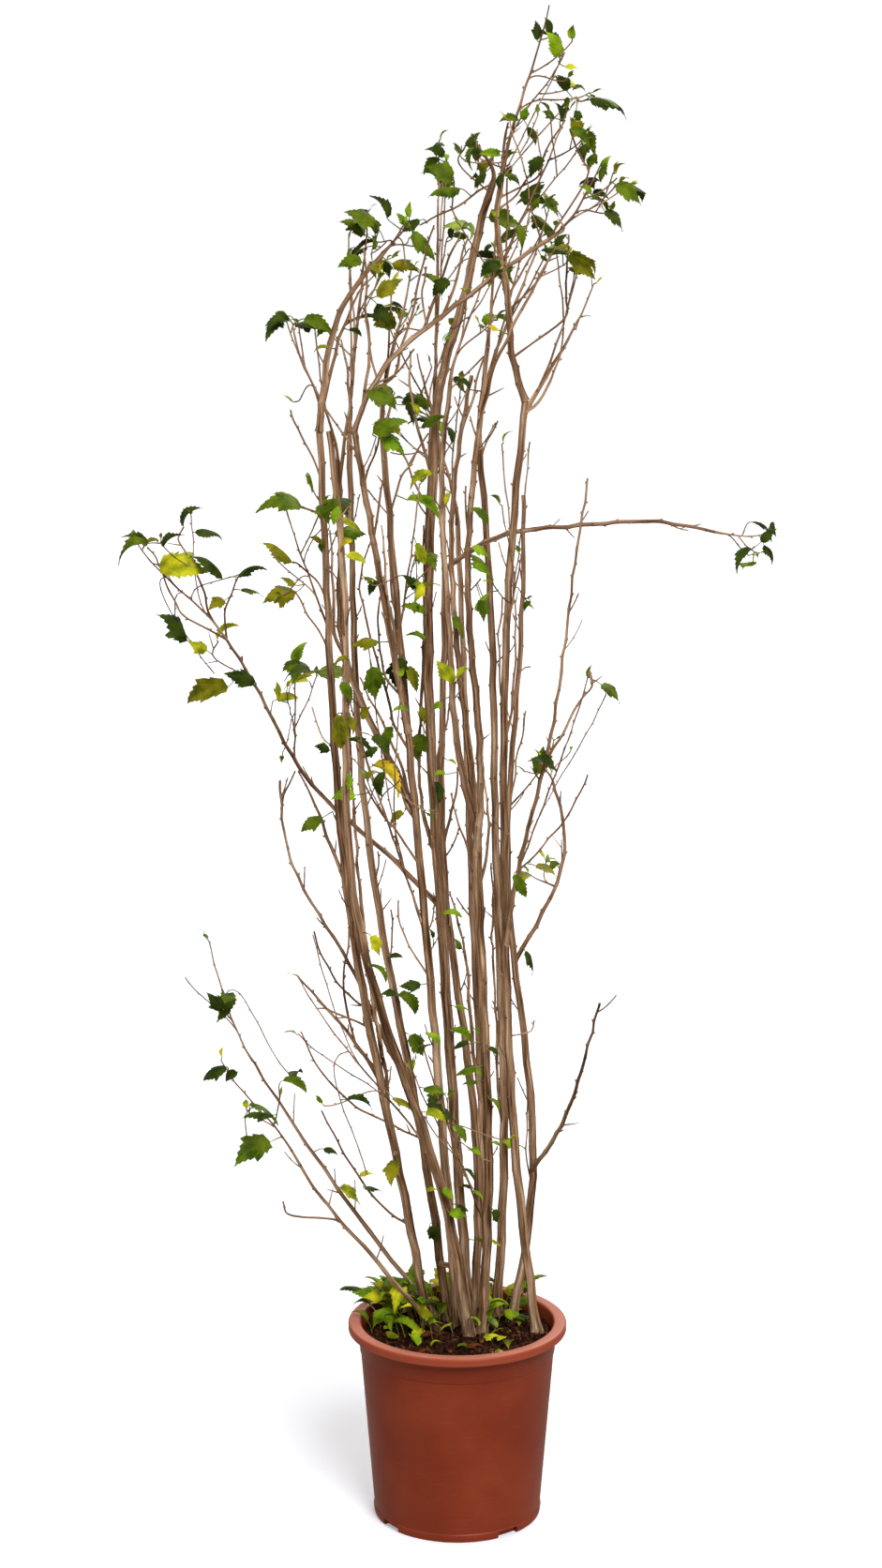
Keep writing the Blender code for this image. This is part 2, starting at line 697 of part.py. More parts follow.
def stem_of_mass(name, size, limbs):
    tip = Vector(size["tips"][0])
    radius = size["thick"] / 2
    first, way, seat = start_of(size["on"], size["at"], tip, radius, limbs)
    places = curved(first, way, tip, rising(first, tip), SHOOT_STATIONS)
    if seat:
        step = (places[1] - first).length
        places[1] = first + way * max(step, seat["rise"])
    stem = Limb(name, places, tapering(radius, SHOOT_STATIONS), MASS_STEM_SIDES, way)
    stem.seat = seat
    return stem


def twigs_of_mass(name, size, stem, taken, rng):
    """The main twigs, which leave the stem one after another and each reach a tip."""
    twigs = []
    tips = [Vector(tip) for tip in size["tips"][1:]]
    for i, tip in enumerate(tips):
        place, way, radius = stem.at(0.2 + 0.5 * i / len(tips) + rng.uniform(0, 0.08))
        start_way = (way + (tip - place).normalized() * 0.8).normalized()
        places = curved(place, start_way, tip, rising(place, tip), SHOOT_STATIONS - 1)
        radii = tapering(radius * TWIG_THICK, SHOOT_STATIONS - 1)
        if taken.clear(samples(places[1:]), radii[0] + SHOOT_CLEAR, name):
            twigs.append(Limb(name, places, radii, TWIG_SIDES))
    return twigs


def samples(places):
    """The places and two more between each pair."""
    points = []
    for a, b in zip(places, places[1:]):
        points += [a, mix(a, b, 1 / 3), mix(a, b, 2 / 3)]
    return [*points, places[-1]]


def spurs_of_mass(name, size, shoots, taken, rng):
    """Short side spurs, spread over the shoots and turned round them."""
    spurs = []
    for i in range(size["spurs"]):
        shoot = shoots[i % len(shoots)]
        place, way, radius = shoot.at(rng.uniform(0.25, 0.7))
        turn = Matrix.Rotation(rng.uniform(0, math.tau), 3, way)
        side = turn @ way.orthogonal().normalized()
        lean = way * math.cos(SPUR_LEAN) + side * math.sin(SPUR_LEAN)
        reach = rng.uniform(*SPUR_LENGTH)
        tip = place + lean * reach + Vector((0, 0, reach * 0.25))
        places = curved(place, lean, tip, rising(place, tip), 2)
        radii = tapering(min(SPUR_THICK / 2, radius * 0.8), 2)
        if taken.clear(samples(places), radii[0] + SHOOT_CLEAR, name):
            spurs.append(Limb(name, places, radii, TWIG_SIDES))
    return spurs


def leaf_nodes(shoots, rng):
    """Every place where a leaf can sit, those nearest to a tip first."""
    nodes = []
    for shoot in shoots:
        length = sum((b - a).length for a, b in zip(shoot.places, shoot.places[1:]))
        angle = rng.uniform(0, math.tau)
        back, step = FIRST_NODE, NODE_STEP
        while back < length * 0.8:
            nodes.append((back * rng.uniform(0.6, 1.4), shoot, 1 - back / length, angle))
            angle += GOLDEN_ANGLE
            back += step
            step *= NODE_GROWTH
    return sorted(nodes, key=lambda node: node[0])


def leaf_at(shoot, share, angle, rng):
    """Root, joint, tip and half width of a leaf that stands out from its shoot and droops."""
    place, way, _ = shoot.at(share)
    side = Matrix.Rotation(angle, 3, way) @ way.orthogonal().normalized()
    out = (side + way * 0.6 + Vector((0, 0, 0.2))).normalized()
    level = Vector((out.x, out.y, 0))
    if level.length < 0.2:
        level = Vector((math.cos(angle), math.sin(angle), 0))
    droop = rng.uniform(*DROOP)
    blade = level.normalized() * math.cos(droop) - Vector((0, 0, math.sin(droop)))
    across = blade.cross(Vector((0, 0, 1))).normalized()
    across = Matrix.Rotation(rng.uniform(-0.6, 0.6), 3, blade) @ across
    length = rng.uniform(*LEAF_LENGTH)
    joint = place + out * rng.uniform(*PETIOLE)
    return dict(
        root=place, joint=joint, tip=joint + blade * length,
        across=across * (length * LEAF_WIDTH / 2),
        lift=across.cross(blade) * (length * LEAF_ARCH),
    )


def leaf_points(leaf):
    """Points along a leaf's middle line and out to both of its edges."""
    line = [mix(leaf["root"], leaf["joint"], 0.6)]
    for share, spread in ((0, 0.45), (0.2, 0.7), (LEAF_WIDEST, 1), (0.7, 0.5), (1, 0)):
        place = mix(leaf["joint"], leaf["tip"], share) + leaf["lift"] * spread
        line += [place + leaf["across"] * (spread * step) for step in (-1, -0.5, 0, 0.5, 1)]
    return line


def in_the_open(points):
    """Whether every point is in the plant's reach, and over the pot's rim or over the soil."""
    if any(not REACH_LOW[k] < point[k] < REACH_HIGH[k] for point in points for k in range(3)):
        return False
    return all(
        point.z > POT_HEIGHT + LEAF_CLEAR
        or (point.z > SOIL_TOP + LEAF_CLEAR and point.xy.length < inner_radius(point.z) - LEAF_CLEAR)
        for point in points
    )


def leaves_of_mass(name, size, shoots, taken, rng):
    leaves = []
    for _, shoot, share, angle in leaf_nodes(shoots, rng):
        leaf = leaf_at(shoot, share, angle, rng)
        if len(leaves) >= size["leaves"]:
            break
        points = leaf_points(leaf)
        apart = all((leaf["joint"] - other["joint"]).length > LEAF_SPACING for other in leaves)
        if apart and in_the_open(points) and taken.clear(points, LEAF_CLEAR, name):
            leaves.append(leaf)
    return leaves


def leaf_solid(leaf, name, collection):
    """A thin arched blade of eight faces: its root, its sides, its tip, a crest and a belly."""
    middle = mix(leaf["joint"], leaf["tip"], LEAF_WIDEST) + leaf["lift"]
    up = leaf["lift"].normalized() * (LEAF_THICK / 2)
    bm = bmesh.new()
    corners = (
        leaf["root"], middle + leaf["across"], leaf["tip"], middle - leaf["across"],
        middle + up, middle - up,
    )
    verts = [bm.verts.new(corner) for corner in corners]
    sides = verts[:4]
    for pole in verts[4:]:
        for i in range(4):
            bm.faces.new((sides[i], sides[(i + 1) % 4], pole))
    return object_from(bm, name, collection)


def fused(name, shoots, leaves):
    """Joins a spray's tubes and leaves into one solid, and drops what the union leaves loose."""
    pieces = bpy.data.collections.new(f"pieces of {name}")
    bpy.context.scene.collection.children.link(pieces)
    body = tube(shoots[0], name)
    for i, shoot in enumerate(shoots[1:]):
        tube(shoot, f"{name} twig {i}", pieces)
    for i, leaf in enumerate(leaves):
        leaf_solid(leaf, f"{name} leaf {i}", pieces)
    union = body.modifiers.new("join the spray", "BOOLEAN")
    union.operation = "UNION"
    union.operand_type = "COLLECTION"
    union.collection = pieces
    union.solver = "EXACT"
    graph = bpy.context.evaluated_depsgraph_get()
    joined = bpy.data.meshes.new_from_object(body.evaluated_get(graph))
    body.modifiers.clear()
    body.data = joined
    for piece in list(pieces.objects):
        bpy.data.objects.remove(piece)
    bpy.data.collections.remove(pieces)
    keep_largest(joined)
    return body


def keep_largest(mesh):
    """Leaves only the piece with most points, so that no scrap or sealed hollow stays."""
    bm = bmesh.new()
    bm.from_mesh(mesh)
    left = set(bm.verts)
    groups = []
    while left:
        group, edge = set(), [left.pop()]
        while edge:
            vert = edge.pop()
            group.add(vert)
            for link in vert.link_edges:
                other = link.other_vert(vert)
                if other in left:
                    left.remove(other)
                    edge.append(other)
        groups.append(group)
    largest = max(groups, key=len)
    extra = [vert for group in groups if group is not largest for vert in group]
    bmesh.ops.delete(bm, geom=extra, context="VERTS")
    bm.to_mesh(mesh)
    bm.free()


def main():
    for obj in list(bpy.data.objects):
        bpy.data.objects.remove(obj)
    make_pot()
    make_soil()

    limbs = {name: grow_stem(name, size) for name, size in STEMS.items()}
    for name, size in BOUGHS.items():
        limbs[name] = grow_bough(name, size, limbs)
    taken = Taken()
    for name, limb in limbs.items():
        taken.add_line(name, limb.places, limb.radii)
        obj = tube(limb, name)
        smooth(obj, 60)
        paint(obj, "bark")

    draws = {name: random.Random(size["seed"]) for name, size in MASSES.items()}
    shoots = {name: [stem_of_mass(name, size, limbs)] for name, size in MASSES.items()}
    for name in MASSES:
        taken.add_line(name, shoots[name][0].places, shoots[name][0].radii)
    for name, size in MASSES.items():
        rng = draws[name]
        twigs = twigs_of_mass(name, size, shoots[name][0], taken, rng)
        for twig in twigs:
            taken.add_line(name, twig.places, twig.radii)
        spurs = spurs_of_mass(name, size, [*shoots[name], *twigs], taken, rng)
        for spur in spurs:
            taken.add_line(name, spur.places, spur.radii)
        shoots[name] += twigs + spurs
    for name, size in MASSES.items():
        leaves = leaves_of_mass(name, size, shoots[name], taken, draws[name])
        for leaf in leaves:
            middle = mix(leaf["joint"], leaf["tip"], LEAF_WIDEST) + leaf["lift"]
            half = leaf["across"].length
            taken.add_line(name, [leaf["root"], middle], [half * 0.3, half * 0.3])
            taken.add_line(name, [middle - leaf["across"] * 0.6, middle + leaf["across"] * 0.6],
                           [half * 0.4, half * 0.4])
            taken.add_line(name, [middle, leaf["tip"]], [half * 0.4, 0.001])
        mass = fused(name, shoots[name], leaves)
        paint(mass, "leaf")


main()
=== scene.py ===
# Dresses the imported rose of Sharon: bark, twigs and leaves on its limbs, a moulded pot with loose
# soil, and a plain pale studio round them. Metres, +Z up, the front faces -Y.
import itertools
import math
import random

import bmesh
import bpy
from mathutils import Matrix, Vector, kdtree, noise


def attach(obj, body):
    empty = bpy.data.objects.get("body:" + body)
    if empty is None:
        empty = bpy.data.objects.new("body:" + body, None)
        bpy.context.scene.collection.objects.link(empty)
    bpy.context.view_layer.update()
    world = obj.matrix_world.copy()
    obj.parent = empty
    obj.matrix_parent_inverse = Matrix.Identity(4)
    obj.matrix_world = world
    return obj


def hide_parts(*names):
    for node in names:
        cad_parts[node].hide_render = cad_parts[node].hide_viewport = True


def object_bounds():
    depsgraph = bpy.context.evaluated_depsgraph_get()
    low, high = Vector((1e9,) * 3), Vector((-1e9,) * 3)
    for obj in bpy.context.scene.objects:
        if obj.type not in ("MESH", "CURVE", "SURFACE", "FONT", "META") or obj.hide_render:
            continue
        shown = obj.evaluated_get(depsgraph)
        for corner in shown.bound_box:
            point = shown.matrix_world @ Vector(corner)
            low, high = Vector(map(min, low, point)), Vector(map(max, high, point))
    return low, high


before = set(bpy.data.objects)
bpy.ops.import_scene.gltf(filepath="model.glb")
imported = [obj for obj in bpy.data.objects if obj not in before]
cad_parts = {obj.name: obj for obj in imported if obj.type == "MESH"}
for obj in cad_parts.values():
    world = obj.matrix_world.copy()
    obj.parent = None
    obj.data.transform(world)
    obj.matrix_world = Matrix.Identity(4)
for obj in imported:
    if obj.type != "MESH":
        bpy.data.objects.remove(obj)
cadLow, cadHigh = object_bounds()
print("frame loaded:", len(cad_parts), "solids")


# Small helpers


def mix(a, b, share):
    return a + (b - a) * share


def colour(code):  # an sRGB hex code as linear red, green, blue and alpha
    parts = [int(code[i:i + 2], 16) / 255 for i in (0, 2, 4)]
    return (*[c / 12.92 if c <= 0.04045 else ((c + 0.055) / 1.055) ** 2.4 for c in parts], 1.0)


# Adds a node. Settings go to sockets by name or number and otherwise to the node's own fields,
# stops are the (place, hex colour) pairs of a ramp, and links bring other nodes' outputs in.
def addNode(material, kind, settings=None, links=None, stops=()):
    tree = material.node_tree
    node = tree.nodes.new(kind)
    for name, value in (settings or {}).items():
        if isinstance(name, int) or name in node.inputs:
            node.inputs[name].default_value = value
        else:
            setattr(node, name, value)
    for name, source in (links or {}).items():
        tree.links.new(source, node.inputs[name])
    for i, (place, code) in enumerate(stops):
        band = node.color_ramp.elements
        element = band[i] if i < 2 else band.new(place)
        element.position = place
        element.color = colour(code)
    return node


def newMaterial(name, baseColour, roughness):
    material = bpy.data.materials.new(name)
    material.use_nodes = True
    shader = material.node_tree.nodes["Principled BSDF"]
    shader.inputs["Base Color"].default_value = colour(baseColour)
    shader.inputs["Roughness"].default_value = roughness
    return material, shader


def plug(material, shader, colourFrom, normalFrom):
    material.node_tree.links.new(colourFrom, shader.inputs["Base Color"])
    material.node_tree.links.new(normalFrom, shader.inputs["Normal"])


def objectFrom(data, name):
    made = bpy.data.objects.new(name, data)
    bpy.context.scene.collection.objects.link(made)
    return made


def meshFrom(bm, name):
    mesh = bpy.data.meshes.new(name)
    bm.to_mesh(mesh)
    bm.free()
    return mesh


# Gives a finished piece its material and its body, and hides the solids it stands for
def settle(piece, material, replaced=()):
    piece.data.materials.clear()
    piece.data.materials.append(material)
    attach(piece, "root")
    if replaced:
        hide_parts(*replaced)
    print(piece.name, "made:", sum(len(p.vertices) - 2 for p in piece.data.polygons), "triangles")
    return piece


# One mesh of many tapering tubes, each a run of (place, radius)
def tubes(name, runs, roundness):
    curve = bpy.data.curves.new(name, "CURVE")
    curve.dimensions = "3D"
    curve.bevel_depth = 1.0
    curve.bevel_resolution = roundness
    curve.use_fill_caps = True
    for run in runs:
        spline = curve.splines.new("POLY")
        spline.points.add(len(run) - 1)
        for point, (place, radius) in zip(spline.points, run):
            point.co = (*place, 1)
            point.radius = radius
    holder = bpy.data.objects.new(name, curve)
    mesh = bpy.data.meshes.new_from_object(holder)
    bpy.data.objects.remove(holder)
    mesh.shade_smooth()
    return objectFrom(mesh, name)


# Marks how each point lies across and along its limb, so that bark can follow the limb
def markGrain(piece, runs):
    spots = []
    for number, run in enumerate(runs):
        along = number * 0.37  # no two limbs share a pattern
        for (before, _), (place, radius), (after, _) in zip([run[0], *run], run, [*run[1:], run[-1]]):
            along += (place - before).length
            spots.append((place, radius, (after - before).normalized(), along))
    tree = kdtree.KDTree(len(spots))
    for i, spot in enumerate(spots):
        tree.insert(spot[0], i)
    tree.balance()
    grain = []
    for vert in piece.data.vertices:
        place, _, way, along = spots[min(
            tree.find_n(vert.co, 4), key=lambda hit: abs(hit[2] - spots[hit[1]][1]))[1]]
        offset = vert.co - place
        ahead = offset.dot(way)
        grain.append((offset - way * ahead, along + ahead))
    for name, kind in (("across", "FLOAT_VECTOR"), ("along", "FLOAT")):
        piece.data.attributes.new(name, kind, "POINT")
    across, along = (piece.data.attributes[name].data for name in ("across", "along"))
    across.foreach_set("vector", [part for side, _ in grain for part in side])
    along.foreach_set("value", [far for _, far in grain])


# Moves each point along its normal by noise. Each wave is (size, stretch upwards, height).
def roughen(piece, waves):
    normals = [vert.normal.copy() for vert in piece.data.vertices]
    for vert, normal in zip(piece.data.vertices, normals):
        lift = 0
        for size, stretch, height in waves:
            x, y, z = vert.co
            lift += noise.noise((x / size, y / size, z / size / stretch)) * height
        vert.co += normal * lift


# The limbs' sizes: foot or parent, tip, sideways bends, depth, and thickness at both ends
stems = {
    "stem_left": dict(
        foot=(-0.040, 0.035), tip=(-0.177, -0.100, 1.497),
        bends=(0.031, -0.002, -0.003), depth=-0.050, thick=(0.0125, 0.0085),
    ),
    "stem_left_front": dict(
        foot=(0.016, -0.006), tip=(-0.162, -0.170, 1.502),
        bends=(0.043, -0.005, -0.014), depth=-0.060, thick=(0.0145, 0.0075),
    ),
    "stem_left_back": dict(
        foot=(-0.013, 0.050), tip=(-0.145, 0.110, 1.460),
        bends=(0.030, -0.008, -0.003), depth=0.020, thick=(0.0125, 0.0075),
    ),
    "stem_knuckled": dict(
        foot=(0.000, 0.022), tip=(-0.098, -0.050, 1.494),
        bends=(-0.003, -0.001, 0.0), depth=-0.030, thick=(0.0130, 0.0080),
    ),
    "stem_middle": dict(
        foot=(0.018, 0.035), tip=(-0.030, 0.010, 1.508),
        bends=(0.021, -0.005, 0.002), depth=0.0, thick=(0.0140, 0.0130),
    ),
    "stem_middle_back": dict(
        foot=(0.023, 0.060), tip=(-0.023, 0.140, 1.445),
        bends=(0.007, -0.009, -0.009), depth=0.030, thick=(0.0120, 0.0075),
    ),
    "stem_forked": dict(
        foot=(0.034, 0.005), tip=(0.024, -0.050, 0.994),
        bends=(-0.010, -0.003, 0.0), depth=-0.020, thick=(0.0130, 0.0120),
    ),
    "stem_right_back": dict(
        foot=(0.056, 0.070), tip=(0.031, 0.200, 1.454),
        bends=(-0.016, -0.002, -0.004), depth=0.040, thick=(0.0130, 0.0085),
    ),
    "stem_right": dict(
        foot=(0.110, 0.0), tip=(0.086, -0.040, 1.533),
        bends=(0.039, 0.0, 0.003), depth=-0.020, thick=(0.0125, 0.0090),
    ),
    "stem_right_thin": dict(
        foot=(0.076, 0.040), tip=(0.088, 0.100, 1.400),
        bends=(-0.002, -0.015, -0.012), depth=0.040, thick=(0.0120, 0.0055),
    ),
    "stem_back": dict(
        foot=(0.042, 0.098), tip=(0.001, 0.270, 1.344),
        bends=(-0.002, -0.001, -0.001), depth=0.050, thick=(0.0115, 0.0070),
    ),
    "stem_low_front": dict(
        foot=(-0.026, 0.010), tip=(-0.218, -0.140, 0.560),
        bends=(0.001, -0.002, 0.002), depth=-0.030, thick=(0.0075, 0.0035),
    ),
    "stem_low_back": dict(
        foot=(-0.030, 0.066), tip=(-0.290, 0.190, 0.590),
        bends=(0.012, 0.0, 0.0), depth=0.020, thick=(0.0075, 0.0035),
    ),
}
boughs = {
    "bough_left_inner": dict(
        on="stem_knuckled", at=0.60, tip=(-0.159, 0.050, 1.451),
        bends=(0.045, 0.005, -0.004), depth=0.060, thick=(0.0085, 0.0050),
    ),
    "bough_left_upper": dict(
        on="stem_knuckled", at=0.685, tip=(-0.132, -0.120, 1.499),
        bends=(0.0, 0.0, 0.0), depth=-0.020, thick=(0.0080, 0.0065),
    ),
    "bough_fork_middle": dict(
        on="stem_forked", at=1.0, tip=(0.018, 0.090, 1.560),
        bends=(0.028, -0.004, 0.0), depth=0.050, thick=(0.0085, 0.0045),
    ),
    "bough_fork_left": dict(
        on="stem_forked", at=0.965, tip=(-0.011, -0.070, 1.555),
        bends=(0.024, 0.0, 0.004), depth=-0.030, thick=(0.0085, 0.0050),
    ),
    "bough_fork_right": dict(
        on="stem_forked", at=0.935, tip=(0.035, -0.190, 1.606),
        bends=(0.015, -0.007, -0.003), depth=-0.060, thick=(0.0090, 0.0050),
    ),
    "bough_arching": dict(
        on="stem_middle_back", at=0.875, tip=(0.333, -0.040, 1.364),
        bends=(0.042, 0.004, 0.005), depth=-0.030, thick=(0.0065, 0.0035),
    ),
    "bough_left_long": dict(
        on="stem_middle", at=0.475, tip=(-0.318, 0.170, 1.196),
        bends=(0.042, 0.0, -0.005), depth=0.100, thick=(0.0065, 0.0035),
    ),
    "bough_left_low": dict(
        on="stem_left_back", at=0.265, tip=(-0.228, -0.160, 1.058),
        bends=(0.017, -0.010, 0.006), depth=-0.020, thick=(0.0055, 0.0025),
    ),
    "bough_right_bare": dict(
        on="stem_right", at=0.435, tip=(0.148, -0.180, 1.360),
        bends=(-0.003, 0.004, 0.002), depth=-0.050, thick=(0.0060, 0.0025),
    ),
    "bough_right_low": dict(
        on="stem_right_thin", at=0.185, tip=(0.184, -0.140, 0.760),
        bends=(-0.011, -0.002, 0.0), depth=-0.020, thick=(0.0060, 0.0025),
    ),
    "bough_right_side": dict(
        on="stem_right_thin", at=0.44, tip=(0.135, 0.200, 0.990),
        bends=(-0.036, 0.004, 0.0), depth=0.010, thick=(0.0055, 0.0035),
    ),
    "bough_top_right": dict(
        on="stem_right", at=1.0, tip=(0.055, -0.020, 1.814),
        bends=(0.013, -0.001, 0.004), depth=-0.020, thick=(0.0075, 0.0060),
    ),
    "bough_crossing": dict(
        on="bough_left_upper", at=1.0, tip=(0.110, -0.150, 1.736),
        bends=(0.030, 0.007, 0.003), depth=-0.025, thick=(0.0060, 0.0045),
    ),
    "bough_top_middle": dict(
        on="stem_middle", at=1.0, tip=(0.044, 0.010, 1.808),
        bends=(0.003, 0.001, 0.002), depth=-0.010, thick=(0.0105, 0.0080),
    ),
    "bough_upper_left": dict(
        on="stem_left", at=1.0, tip=(-0.096, -0.060, 1.720),
        bends=(0.025, -0.003, 0.0), depth=-0.020, thick=(0.0080, 0.0050),
    ),
}

